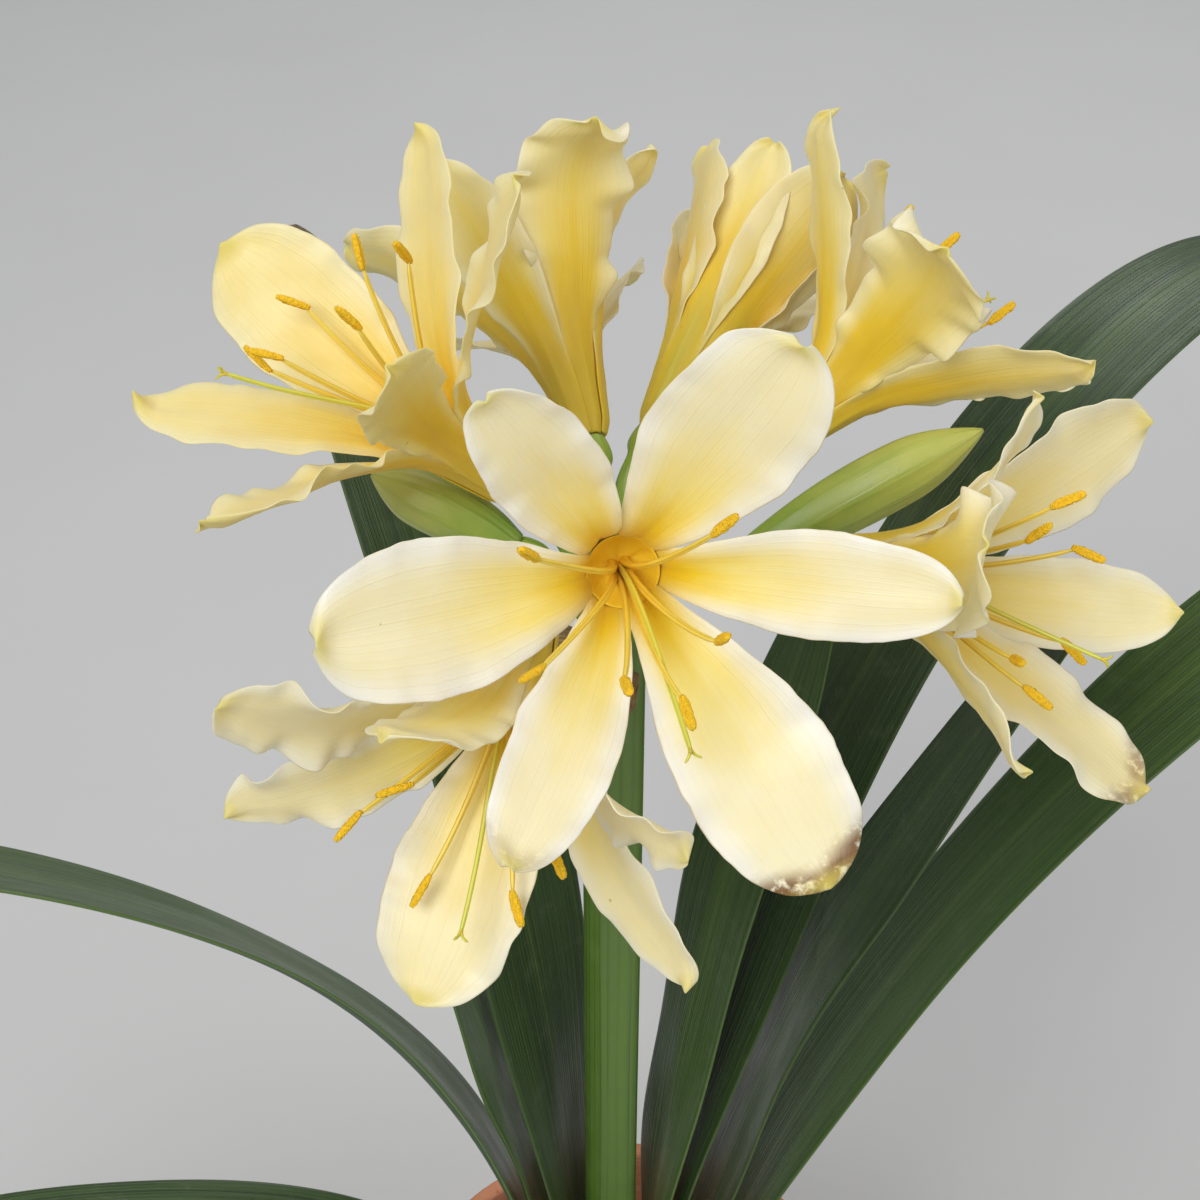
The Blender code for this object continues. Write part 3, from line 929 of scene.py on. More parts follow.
@dataclass(frozen=True)
class StemFinish(Finish):
    """Smooth green stem tissue with faint ribs: stalk, pedicels, buds and style."""

    name: str
    low: Colour
    high: Colour
    rib: Colour
    ribs: float = 14.0
    roughness: tuple[float, float] = (0.34, 0.5)
    relief: float = 0.00012

    def lay(self, tree: MaterialTree, shader: bpy.types.Node) -> None:
        """Lays the nodes that feed the shader.

        Args:
            tree: The material's tree.
            shader: The shader.
        """
        uv = tree.own_uv()
        place = tree.own_place()
        split = tree.axes(uv)
        cloud = tree.noise(place, 140.0, 4)
        along = tree.scaled_sum(tree.math("SUBTRACT", cloud, 0.5), 0.5, split["Y"])
        colour = tree.mix(tree.between(along, 0.05, 0.95), self.low, self.high)
        line = self.veins(tree, uv, self.ribs, 0.04)
        colour = tree.mix(tree.times(line, 0.4), colour, self.rib)
        dots = self.specks(tree, place, 500.0, 0.2, 0.08)
        colour = tree.mix(tree.times(dots, 0.25), colour, self.rib)
        height = tree.scaled_sum(tree.noise(place, 1800.0, 2), 0.3, line)
        others = {
            "Subsurface Weight": 0.08,
            "Subsurface Radius": (0.5, 1.0, 0.2),
            "Subsurface Scale": 0.002,
        }
        self.surface(tree, shader, colour, (cloud, *self.roughness), (height, self.relief), others)


@dataclass(frozen=True)
class LeafFinish(Finish):
    """A strap leaf's waxy face: dark green with close parallel veins, a paler keel and a paler margin."""

    name: str
    dark: Colour
    light: Colour
    keel: Colour
    gloss: float = 0.30

    def lay(self, tree: MaterialTree, shader: bpy.types.Node) -> None:
        """Lays the nodes that feed the shader.

        Args:
            tree: The material's tree.
            shader: The shader.
        """
        uv = tree.own_uv()
        place = tree.own_place()
        split = tree.axes(uv)
        from_middle = tree.from_middle(split["X"])
        streaks = tree.noise(tree.stretched(uv, (22.0, 2.4, 1.0)), 1.0, 4, 0.6)
        colour = tree.mix(tree.between(streaks, 0.3, 0.72), self.dark, self.light)
        foot = tree.between(split["Y"], 0.16, 0.0)
        colour = tree.mix(tree.times(foot, 0.7), colour, self.keel)
        line = self.veins(tree, uv, 34.0, 0.012)
        fine = self.veins(tree, uv, 83.0, 0.012)
        colour = tree.mix(tree.times(line, 0.22), colour, self.light)
        keel = tree.between(from_middle, 0.10, 0.0, 0.0, 0.35)
        rim = tree.between(from_middle, 0.93, 1.0, 0.0, 0.45)
        colour = tree.mix(tree.math("MAXIMUM", keel, rim), colour, self.keel)
        stored = tree.add("ShaderNodeAttribute", attribute_name="tone")
        tone = tree.channels(stored.outputs["Color"])
        dry = tree.mix(tree.noise(place, 700.0, 4), (0.10, 0.055, 0.022), (0.34, 0.20, 0.08))
        colour = tree.mix(tone[1], colour, dry)
        dust = tree.between(tree.noise(place, 130.0, 5, 0.7), 0.52, 0.75, 0.0, 0.07)
        colour = tree.mix(dust, colour, (0.42, 0.45, 0.30))
        smear = tree.noise(tree.stretched(uv, (5.0, 12.0, 1.0)), 1.0, 4)
        height = tree.scaled_sum(line, 0.6, tree.times(fine, 0.3))
        height = tree.scaled_sum(streaks, 0.5, height)
        others = {"Coat Weight": 0.06, "Coat Roughness": 0.28}
        self.surface(tree, shader, colour, (smear, self.gloss, self.gloss + 0.16), (height, 0.00022), others)


@dataclass(frozen=True)
class PollenFinish(Finish):
    """Golden pollen in grains, with a deeper orange painted as shade in the grooves between them."""

    name: str = "pollen_gold"
    bright: Colour = (0.98, 0.71, 0.020)
    groove_shade: Colour = (0.92, 0.50, 0.006)

    def lay(self, tree: MaterialTree, shader: bpy.types.Node) -> None:
        """Lays the nodes that feed the shader.

        Args:
            tree: The material's tree.
            shader: The shader.
        """
        place = tree.own_place()
        cells = tree.add("ShaderNodeTexVoronoi")
        tree.feed(cells.inputs["Vector"], place)
        tree.feed(cells.inputs["Scale"], 2500.0)
        patch = tree.noise(place, 900.0, 3)
        grains = tree.between(cells.outputs["Distance"], 0.05, 0.7, 1.0, 0.0)
        # Painted shade: deeper orange in the grooves between the grains
        colour = tree.mix(grains, self.groove_shade, self.bright)
        colour = tree.mix(tree.between(patch, 0.4, 0.7, 0.0, 0.35), colour, (0.97, 0.68, 0.04))
        self.surface(tree, shader, colour, (patch, 0.7, 0.9), (grains, 0.0002))


@dataclass(frozen=True)
class PaperFinish(Finish):
    """Thin dried bract: tan to brown with fibres."""

    name: str = "dry_paper"
    pale: Colour = (0.50, 0.36, 0.18)
    dark: Colour = (0.17, 0.085, 0.035)

    def lay(self, tree: MaterialTree, shader: bpy.types.Node) -> None:
        """Lays the nodes that feed the shader.

        Args:
            tree: The material's tree.
            shader: The shader.
        """
        uv = tree.own_uv()
        place = tree.own_place()
        fibre = tree.noise(tree.stretched(uv, (30.0, 2.0, 1.0)), 1.0, 4, 0.6)
        cloud = tree.noise(place, 260.0, 4)
        line = self.veins(tree, uv, 15.0, 0.06)
        colour = tree.mix(tree.between(fibre, 0.3, 0.7), self.dark, self.pale)
        colour = tree.mix(tree.between(cloud, 0.4, 0.7, 0.0, 0.5), colour, self.dark)
        colour = tree.mix(tree.times(line, 0.3), colour, self.dark)
        self.surface(tree, shader, colour, (cloud, 0.65, 0.9), (tree.scaled_sum(line, 0.6, fibre), 0.0003))


@dataclass(frozen=True)
class ClayFinish(Finish):
    """Fired terracotta: fine turning lines, pits darkened as painted shade, lime on the lower wall and a
    patchy darker band of painted shade below the rim band.
    """

    name: str = "fired_clay"
    fired: Colour = (0.41, 0.140, 0.064)
    light: Colour = (0.60, 0.260, 0.140)
    bloom: Colour = (0.66, 0.53, 0.44)
    clay_shade: Colour = (0.26, 0.088, 0.042)

    def lay(self, tree: MaterialTree, shader: bpy.types.Node) -> None:
        """Lays the nodes that feed the shader.

        Args:
            tree: The material's tree.
            shader: The shader.
        """
        place = tree.own_place()
        split = tree.axes(place)
        cloud = tree.noise(place, 32.0, 6, 0.6)
        colour = tree.mix(tree.between(cloud, 0.32, 0.70), self.fired, self.light)
        # Painted shade: a patchy darker band below the overhanging rim band
        clay_shade = tree.times(tree.between(split["Z"], 0.060, 0.098), tree.between(split["Z"], 0.112, 0.098))
        colour = tree.mix(tree.times(clay_shade, tree.between(cloud, 0.3, 0.6, 0.1, 0.55)), colour, self.clay_shade)
        crust = tree.between(tree.noise(place, 55.0, 7, 0.7), 0.46, 0.64)
        lime = tree.times(tree.between(split["Z"], 0.075, 0.0), crust)
        bloom = tree.noise(tree.stretched(place, (1.0, 1.0, 2.4)), 38.0, 7, 0.72)
        salt = tree.between(bloom, 0.55, 0.72, 0.0, 0.5)
        colour = tree.mix(tree.math("MAXIMUM", tree.times(lime, 0.5), salt), colour, self.bloom)
        pits = self.specks(tree, place, 420.0, 0.22, 0.14)
        # Painted shade: the sunken pits are darkened
        colour = tree.mix(tree.times(pits, 0.35), colour, self.clay_shade)
        lines = tree.noise(tree.stretched(place, (1.0, 1.0, 60.0)), 22.0, 3)
        grit = tree.noise(place, 900.0, 4, 0.7)
        height = tree.scaled_sum(lines, 0.7, tree.times(grit, 0.6))
        height = tree.math("SUBTRACT", height, tree.times(pits, 0.6))
        self.surface(tree, shader, colour, (cloud, 0.78, 0.93), (height, 0.00035))


@dataclass(frozen=True)
class EarthFinish(Finish):
    """Potting soil, bark or grit: crumbs of two browns with a rough relief."""

    name: str
    dark: Colour
    light: Colour
    scale: float = 420.0

    def lay(self, tree: MaterialTree, shader: bpy.types.Node) -> None:
        """Lays the nodes that feed the shader.

        Args:
            tree: The material's tree.
            shader: The shader.
        """
        place = tree.own_place()
        cloud = tree.noise(place, self.scale, 6, 0.7)
        patch = tree.noise(place, self.scale / 9, 4)
        colour = tree.mix(tree.between(cloud, 0.36, 0.66), self.dark, self.light)
        colour = tree.mix(tree.between(patch, 0.35, 0.7, 0.0, 0.6), colour, self.dark)
        bits = self.specks(tree, place, self.scale * 1.6, 0.25, 0.1)
        colour = tree.mix(tree.times(bits, 0.6), colour, self.light)
        self.surface(tree, shader, colour, (patch, 0.82, 0.97), (tree.scaled_sum(bits, 0.3, cloud), 0.0009))


PETAL_FACE = PetalFinish(
    name="petal_face", throat=(0.82, 0.53, 0.010), gold=(0.87, 0.60, 0.026), body=(0.92, 0.73, 0.24),
    cream=(0.91, 0.79, 0.50), margin=(0.90, 0.86, 0.75), green=(0.86, 0.54, 0.02), midrib_reach=0.20,
)
PETAL_BACK = PetalFinish(
    name="petal_back", throat=(0.76, 0.54, 0.04), gold=(0.84, 0.60, 0.05), body=(0.88, 0.71, 0.24),
    cream=(0.89, 0.77, 0.44), margin=(0.89, 0.83, 0.64), midrib_reach=0.42,
)
THROAT = StemFinish("throat_gold", (0.90, 0.63, 0.040), (0.90, 0.62, 0.034), (0.87, 0.55, 0.020), 6.0)
FILAMENT = StemFinish("filament_yellow", (0.84, 0.48, 0.010), (0.88, 0.66, 0.10), (0.86, 0.52, 0.02), 5.0)
STYLE = StemFinish("style_lime", (0.82, 0.60, 0.05), (0.66, 0.66, 0.09), (0.66, 0.60, 0.08), 5.0)
STALK = StemFinish("stalk_green", (0.075, 0.15, 0.020), (0.115, 0.21, 0.028), (0.050, 0.115, 0.016), 18.0)
PEDICEL = StemFinish("pedicel_green", (0.20, 0.33, 0.045), (0.30, 0.42, 0.060), (0.15, 0.27, 0.035), 9.0)
BUD = StemFinish("bud_lime", (0.22, 0.34, 0.05), (0.52, 0.55, 0.13), (0.24, 0.36, 0.05), 9.0)
# The first leaf finish is the leaf's own dark green. The second is the same leaf painted lighter, as painted
# light on the leaves that the light falls on.
LEAF_DARK = LeafFinish("leaf_dark", (0.017, 0.040, 0.007), (0.037, 0.080, 0.012), (0.085, 0.140, 0.028))
LEAF_PAINTED_LIT = LeafFinish("leaf_painted_lit", (0.031, 0.072, 0.011), (0.064, 0.128, 0.020), (0.12, 0.195, 0.038))
LEAF_UNDER = LeafFinish(
    "leaf_under", (0.022, 0.055, 0.018), (0.045, 0.098, 0.030), (0.085, 0.15, 0.045), gloss=0.42,
)
SHEATH = StemFinish(
    "sheath_dull", (0.17, 0.130, 0.060), (0.105, 0.115, 0.036), (0.060, 0.055, 0.022),
    ribs=20.0, roughness=(0.75, 0.92), relief=0.0003,
)
POLLEN = PollenFinish()
PAPER = PaperFinish()
CLAY = ClayFinish()
SOIL = EarthFinish("potting_soil", (0.014, 0.009, 0.006), (0.055, 0.034, 0.020))
BARK = EarthFinish("bark_crumb", (0.035, 0.018, 0.009), (0.13, 0.066, 0.030), 600.0)
GRIT = EarthFinish("pale_grit", (0.46, 0.44, 0.40), (0.72, 0.70, 0.66), 700.0)


@dataclass
class Tepal:
    """One blade of a flower, in metres and degrees.

    `ruffle` scales the waves of its margin and `waves` counts them. `stain` browns its tip and `hook` turns
    it in.
    """

    spread: float
    curl: float
    lean: float
    length: float
    width: float
    whorl: Whorl
    ruffle: float = 1.0
    stain: float = 0.0
    hook: float = 1.0
    waves: float = 3.1

    opening_share: float = 0.4
    thickness: float = 0.0009
    lap: float = 1.20
    wave_height: float = 0.00115
    channel_depth: float = 0.0006
    swell_height: float = 0.0011
    hook_height: float = 0.0032
    tip_share: float = 0.012
    across_faces: int = 12
    along_faces: int = 52

    def half_width(self, q: float) -> float:
        """Gives half the blade's width.

        Args:
            q: The share of its free length.

        Returns:
            Metres.
        """
        start = TUBE_MOUTH_RADIUS * math.pi / 6
        full = self.width / 2
        widest, bluntness = (0.6, 2.4) if self.whorl is Whorl.OUTER else (0.64, 2.8)
        if q < widest:
            return start + (full - start) * smooth(q / widest)
        past = (q - widest) / (1 - widest)
        return full * math.sqrt(max(self.tip_share, 1 - past**bluntness))

    def spine(self, roll: float, reached: float) -> tuple[Vector, Vector, Vector]:
        """Follows the midrib from the tube's mouth.

        Args:
            roll: The blade's turn about the flower's axis, in degrees.
            reached: Metres along the midrib from the tube's mouth.

        Returns:
            The place, the way across and the way in towards the flower's middle.
        """
        free = self.length - TUBE_LENGTH
        out = radial(math.radians(roll))
        around = UP.cross(out)
        mid = out * TUBE_MOUTH_RADIUS + UP * TUBE_LENGTH
        start_angle = math.atan((TUBE_MOUTH_RADIUS - TUBE_FOOT_RADIUS) / TUBE_LENGTH)
        steps = 12
        ahead = UP
        for i in range(steps):
            q = reached * (i + 0.5) / steps / free
            angle = start_angle + (math.radians(self.spread) - start_angle) * smooth(q / self.opening_share)
            angle += math.radians(self.curl) * max(0.0, (q - 0.45) / 0.55) ** 1.6
            lean = math.radians(self.lean) * smooth(q)
            ahead = (out * math.sin(angle) + UP * math.cos(angle)) * math.cos(lean) + around * math.sin(lean)
            mid += ahead * reached / steps
        across = (around - ahead * around.dot(ahead)).normalized()
        return mid, across, ahead.cross(across)

    def relief(self, v: float, q: float, seed: float) -> float:
        """Gives how far the skin stands in from the plain blade: waves, a midrib channel and soft swells.

        Args:
            v: The place across, from -1 to 1.
            q: The share of the free length.
            seed: A number that sets this blade's own waves.

        Returns:
            Metres.
        """
        # Waves grow towards the margin and run out of step on the two sides
        edge = max(0.0, (abs(v) - 0.30) / 0.70) ** 1.7
        side = 1.9 if v > 0 else 0.0
        wave = math.sin(2 * math.pi * self.waves * q + seed + side)
        wave += 0.55 * math.sin(2 * math.pi * self.waves * 2.1 * q + 2.3 * seed + 2 * side)
        wave += 0.22 * math.sin(2 * math.pi * self.waves * 3.7 * q + 4.1 * seed + 3 * side)
        rise = self.wave_height * self.ruffle * edge * smooth(q / 0.55) * wave
        # The midrib's channel, a bow across, soft swells and the hooked tip
        rise -= self.channel_depth * bell(v, 0.13) * (1 - 0.7 * q)
        rise += 0.00025 * math.cos(3 * math.pi * v) * smooth(q / 0.3) * (1 - q)
        rise += self.swell_height * waver(v * 1.3 + seed, q * 3.2, seed) * smooth(q / 0.3)
        rise += self.hook_height * self.hook * max(0.0, (q - 0.93) / 0.07) ** 1.6 * bell(v, 0.8)
        return rise

    def build(
        self, name: str, roll: float, frame: Matrix, seed: float, tint: tuple[float, float]
    ) -> bpy.types.Object:
        """Models the blade with its share of the tube.

        Args:
            name: The piece's name.
            roll: The blade's turn about the flower's axis, in degrees.
            frame: The flower's own frame.
            seed: A number that sets this blade's own waves.
            tint: How green the blade's foot is and how much deeper yellow is painted on it as shade, each
                from 0 to 1.

        Returns:
            The finished mesh.
        """
        free = self.length - TUBE_LENGTH
        spines: dict[float, tuple[Vector, Vector, Vector]] = {}

        def place(v: float, t: float) -> Vector:
            """Gives a point of the tube's wall, or past its mouth of the bowed and ruffled blade.

            Args:
                v: The place across, from -1 to 1.
                t: The share of the whole length.

            Returns:
                The point.
            """
            s = t * self.length
            if s <= TUBE_LENGTH:
                # A sixth of the tube and a lap, with a rib outside the midrib and a narrower foot
                turn = math.radians(roll) + math.radians(30) * v * self.lap
                radius = TUBE_FOOT_RADIUS + (TUBE_MOUTH_RADIUS - TUBE_FOOT_RADIUS) * s / TUBE_LENGTH
                radius += self.whorl.value + 0.0004 * bell(v, 0.2)
                radius *= 0.78 + 0.22 * smooth(s / 0.0035)
                return frame @ radial(turn, radius, s)
            q = (s - TUBE_LENGTH) / free
            if t not in spines:
                spines[t] = self.spine(roll, s - TUBE_LENGTH)
            mid, across, inward = spines[t]
            # How strongly the blade is rolled across: as the tube at its mouth, and flatter further out
            bend = math.exp(-4 * q) / TUBE_MOUTH_RADIUS + 14 * q
            ragged = 1 + 0.035 * waver(q * 11, 3.0 if v > 0 else 0.0, seed) * smooth(q / 0.4)
            ragged += 0.022 * waver(q * 46, 5.0 if v > 0 else 1.0, seed) * smooth(q / 0.3)
            wide = 1 + (self.lap - 1) * (1 - smooth(q / 0.25))
            angle = v * self.half_width(q) * ragged * wide * bend
            point = mid + across * math.sin(angle) / bend + inward * (1 - math.cos(angle)) / bend
            skin = inward * math.cos(angle) - across * math.sin(angle)
            start = 1 - smooth(q / 0.3)
            return frame @ (point + skin * (self.relief(v, q, seed) - start * self.whorl.value))

        piece = shaped_sheet(name, self.across_faces, self.along_faces, place)
        places = grid_places(self.across_faces, self.along_faces)
        paint(piece, (self.tones(v, t, *tint) for v, t in places))
        body = [max(0.0, 1 - abs(v) ** 3) * (1 - 0.5 * t) for v, t in places]
        give_wall(piece, self.thickness, 0.4, body, (PETAL_BACK.material(), PETAL_FACE.material()))
        return piece

    def tones(self, v: float, t: float, green: float, shade_yellow: float) -> Tones:
        """Gives the blade's own tones at a place.

        Args:
            v: The place across, from -1 to 1.
            t: The share of the whole length.
            green: How green the flower's throat is, from 0 to 1.
            shade_yellow: How much deeper yellow is painted on the flower as shade, from 0 to 1.

        Returns:
            The green foot, the brown stain, the golden tip and the deeper yellow painted as shade.
        """
        foot = green * (1 - smooth((t - 0.10 - 0.30 * green) / 0.30)) * (0.35 + 0.65 * bell(v, 0.35))
        brown = self.stain * smooth((t + 0.05 * abs(v) - 0.93) / 0.06)
        tip = 0.7 * smooth((t - 0.955) / 0.035) * bell(v, 0.9)
        return foot, brown, tip, shade_yellow


def outer(
    spread: float = 50, curl: float = 30, lean: float = 0, length: float = 0.079, width: float = 0.020,
    **more: float,
) -> Tepal:
    """Gives a tepal of the outer whorl, which is the narrower one."""
    return Tepal(spread, curl, lean, length, width, Whorl.OUTER, **{"ruffle": 0.55, **more})


def inner(
    spread: float = 50, curl: float = 30, lean: float = 0, length: float = 0.079, width: float = 0.029,
    **more: float,
) -> Tepal:
    """Gives a tepal of the inner whorl, which is the broader one."""
    return Tepal(spread, curl, lean, length, width, Whorl.INNER, **more)


# Stamens as (roll, spread) in degrees
DROOPING_STAMENS = [(30, 20), (95, 24), (150, 26), (205, 26), (265, 24), (330, 20)]
HALF_OPEN_STAMENS = [(15, 5), (75, 6), (135, 8), (195, 8), (255, 8), (315, 6)]


@dataclass
class Stem:
    """What a flower and a bud share: a pedicel from the stalk's top that ends in an ovary.

    `base` is in millimetres from the stalk's top. `root` is where the pedicel's foot stands: its turn about
    the stalk in degrees and its share of the way out.
    """

    base: tuple[float, float, float]
    azimuth: float
    elevation: float
    root: tuple[float, float]

    root_ring: float = 0.0068
    pedicel_radius: float = 0.0021
    root_radius: float = 0.0016
    ovary_length: float = 0.009
    ovary_radius: float = 0.0038

    def frame(self) -> Matrix:
        """Gives the flower's own frame: +Z along its axis and +X on its upper side.

        Returns:
            The frame.
        """
        axis = direction(self.azimuth, self.elevation)
        up = (UP - axis * axis.z).normalized()
        frame = Matrix((up, axis.cross(up), axis)).transposed().to_4x4()
        frame.translation = UMBEL + Vector(self.base) / 1000
        return frame

    def build_pedicel(self, name: str) -> bpy.types.Object:
        """Models the pedicel and its three-sided ovary as one rod.

        Args:
            name: The piece's name.

        Returns:
            The finished mesh.
        """
        frame = self.frame()
        axis = frame.to_3x3() @ UP
        turn, share = self.root
        way = radial(math.radians(turn))
        foot = UMBEL + way * self.root_ring * share - UP * 0.001
        rise = foot + UP * 0.0022
        ovary = frame.translation - axis * self.ovary_length
        away = (way + UP * 1.6).normalized()
        reach = (ovary - rise).length * 0.4
        a, b = rise + away * reach, ovary - axis * reach
        steps, swell_steps = 14, 9
        path = [foot]
        for i in range(steps):
            t = i / steps
            first = rise * (1 - t) ** 3 + a * 3 * t * (1 - t) ** 2
            path.append(first + b * 3 * t * t * (1 - t) + ovary * t**3)
        path += [ovary + axis * self.ovary_length * i / swell_steps for i in range(swell_steps + 1)]
        swell_start = (len(path) - 1 - swell_steps) / (len(path) - 1)

        def radius(turn: float, t: float) -> float:
            """Gives the pedicel's radius, and past it the ovary's.

            Args:
                turn: Radians round the rod.
                t: The share of the way along.

            Returns:
                Metres.
            """
            if t < swell_start:
                grow = smooth(t / swell_start * 1.4)
                return self.root_radius + (self.pedicel_radius - self.root_radius) * grow
            q = (t - swell_start) / (1 - swell_start)
            swell = math.sin(math.pi * min(1.0, 0.10 + 0.72 * q)) ** 0.8
            extra = (self.ovary_radius - self.pedicel_radius) * swell * smooth(q * 3)
            return (self.pedicel_radius + extra) * (1 + 0.05 * smooth(q * 2) * math.cos(3 * turn))

        piece = sweep(name, path, radius, 12)
        subdivide(piece)
        return piece


@dataclass
class Flower(Stem):
    """A flower: where its tube starts, where it faces, its six tepals, its stamens and its style.

    `style` and each of the `stamens` are a roll and a spread in degrees. `green` tints the throat and
    `shade_yellow` lays a deeper yellow on the tepals, painted shade for the flowers that face away from the
    light, each from 0 to 1.
    """

    roll: float = 0.0
    tepals: list[Tepal] = field(default_factory=list)
    stamens: list[tuple[float, float]] = field(default_factory=lambda: DROOPING_STAMENS)
    style: tuple[float, float] = (180, 22)
    green: float = 0.08
    shade_yellow: float = 0.3

    filament_length: float = 0.050
    filament_radius: float = 0.00070
    filament_ring: float = 0.0014
    filament_foot: float = 0.0055
    filament_start: float = 0.0082
    anther_length: float = 0.0060
    style_length: float = 0.067
    style_radius: float = 0.00060
    style_foot: float = 0.0008
    style_start: float = 0.0108
    stigma_reach: float = 0.0021
    stigma_radius: float = 0.00042

    @staticmethod
    def thread(start: Vector, roll: float, spread: float, length: float, sway: float) -> list[Vector]:
        """Follows a filament or style out of the tube, away from the axis and up again at its end.

        Args:
            start: Where it leaves the tube, in the flower's frame.
            roll: Its turn about the flower's axis, in degrees.
            spread: How far it leans from the axis, in degrees.
            length: Its length in metres.
            sway: Degrees of its own sideways wander.

        Returns:
            Points of its centre line, in the flower's frame.
        """
        out = radial(math.radians(roll))
        side = UP.cross(out)
        steps = 18
        place, points = start.copy(), [start.copy()]
        for i in range(steps):
            t = (i + 0.5) / steps
            angle = math.radians(spread) * smooth(t * 1.6) * 1.25
            lift = math.radians(16) * max(0.0, t - 0.5)
            ahead = out * math.sin(angle) + UP * math.cos(angle) + Vector((math.sin(lift), 0, 0))
            ahead += side * math.sin(math.radians(sway) * math.sin(math.pi * t))
            place = place + ahead.normalized() * length / steps
            points.append(place.copy())
        return points

    def build_stamens(
        self, name: str, model: bpy.types.Object, rng: random.Random
    ) -> tuple[bpy.types.Object, bpy.types.Object]:
        """Models the six filaments as one piece and the six anthers as another.

        Args:
            name: The flower's name.
            model: The anther to copy.
            rng: The source of small differences.

        Returns:
            The filaments and the anthers.
        """
        frame = self.frame()

        def radius(_: float, t: float) -> float:
            """Gives a filament's radius at share t of its length."""
            stout = 1.15 - 0.45 * t + 1.1 * bell(t, 0.16)
            return self.filament_radius * (stout if t < 0.98 else 0.4)

        threads, heads = [], []
        for i, (roll, spread) in enumerate(self.stamens):
            start = radial(math.radians(roll), self.filament_ring, self.filament_start)
            path = self.thread(start, roll, spread, self.filament_length, rng.uniform(-7, 7))
            path = [Vector((start.x, start.y, self.filament_foot))] + path
            world = [frame @ point for point in path]
            threads.append(sweep(f"thread_{i}", world, radius, 8))
            ahead = (world[-1] - world[-3]).normalized()
            tilt = Vector((rng.uniform(-1, 1), rng.uniform(-1, 1), rng.uniform(-1, 1)))
            sideways = (tilt - ahead * tilt.dot(ahead)).normalized()
            lie = (ahead + sideways * rng.uniform(0.15, 0.75)).normalized()
            turn_to = lie.to_track_quat("Z", "X").to_matrix().to_4x4()
            turn_to.translation = world[-1] + lie * self.anther_length * 0.45
            heads.append(copied(model, f"head_{i}", turn_to))
        return joined("filaments_" + name, threads), joined("anthers_" + name, heads)

    def build_throat(self, name: str) -> bpy.types.Object:
        """Models the golden cup that the filaments' feet make inside the tube.

        Args:
            name: The piece's name.

        Returns:
            The finished mesh.
        """
        outside = [(0, 0.0042), (0.0038, 0.0044), (0.0050, 0.0098), (0.0058, 0.0124), (0.0067, 0.0160)]
        lip = [(0.0072, 0.0194)]
        inside = [
            (0.0063, 0.0173), (0.0055, 0.0156), (0.0044, 0.0141),
            (0.0030, 0.0131), (0.0016, 0.0126), (0, 0.0124),
        ]
        piece = turned(name, outside + lip + inside, 48)
        inside_start, ridge_end, ridge_reach = 0.0110, 0.0056, 0.0062
        for vert in piece.data.vertices:
            reach = math.hypot(vert.co.x, vert.co.y)
            if vert.co.z > inside_start and reach < ridge_end:
                turn = math.atan2(vert.co.y, vert.co.x) - math.radians(self.roll)
                ridge = abs(math.cos(3 * turn)) ** 0.7 - 0.5
                vert.co.z += 0.5 * reach * (1 - reach / ridge_reach) * ridge
        piece.data.transform(self.frame())
        subdivide(piece)
        return piece

    def build_style(self, name: str) -> bpy.types.Object:
        """Models the style with its three-lobed stigma.

        Args:
            name: The piece's name.

        Returns:
            The finished mesh.
        """
        frame = self.frame()
        free = self.style_length - self.style_start
        path = [UP * self.style_foot] + self.thread(UP * self.style_start, *self.style, free, 4)
        world = [frame @ point for point in path]
        rod = sweep("rod", world, lambda _, t: self.style_radius * (1.15 - 0.3 * t), 8)
        ahead = (world[-1] - world[-2]).normalized()
        side = ahead.orthogonal().normalized()
        lobes = []
        for i in range(3):
            way = Matrix.Rotation(2 * math.pi * i / 3, 3, ahead) @ side
            start = world[-1] - ahead * 0.0004
            lobe_path = [
                start + (ahead * math.sin(t) + way * (1 - math.cos(t))) * self.stigma_reach
                for t in (0.0, 0.35, 0.7, 1.05, 1.4)
            ]
            lobes.append(sweep(f"lobe_{i}", lobe_path, lambda _, t: self.stigma_radius * (1.1 - 0.5 * t), 6))
        piece = joined(name, [rod, *lobes])
        subdivide(piece)
        return piece

    def build(self, name: str, anther: bpy.types.Object, rng: random.Random) -> None:
        """Models and dresses the whole flower.

        Args:
            name: The flower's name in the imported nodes.
            anther: The anther to copy.
            rng: The source of small differences.
        """
        frame, tint = self.frame(), (self.green, self.shade_yellow)
        for i, tepal in enumerate(self.tepals):
            seed = rng.uniform(0, 6.28)
            blade = tepal.build(f"tepal_{name}_{i + 1}", self.roll + 60 * i, frame, seed, tint)
            finish_piece(blade, Slot.PETAL, [], ["perianth_" + name])
        filaments, heads = self.build_stamens(name, anther, rng)
        for piece, slot, finish, node in (
            (filaments, Slot.POLLEN, FILAMENT, "stamens_"),
            (heads, Slot.POLLEN, POLLEN, "stamens_"),
            (self.build_throat("throat_" + name), Slot.POLLEN, THROAT, "stamens_"),
            (self.build_style("pistil_" + name), Slot.STALK, STYLE, "style_"),
            (self.build_pedicel("stem_" + name), Slot.STALK, PEDICEL, "pedicel_"),
        ):
            finish_piece(piece, slot, [finish.material()], [node + name])


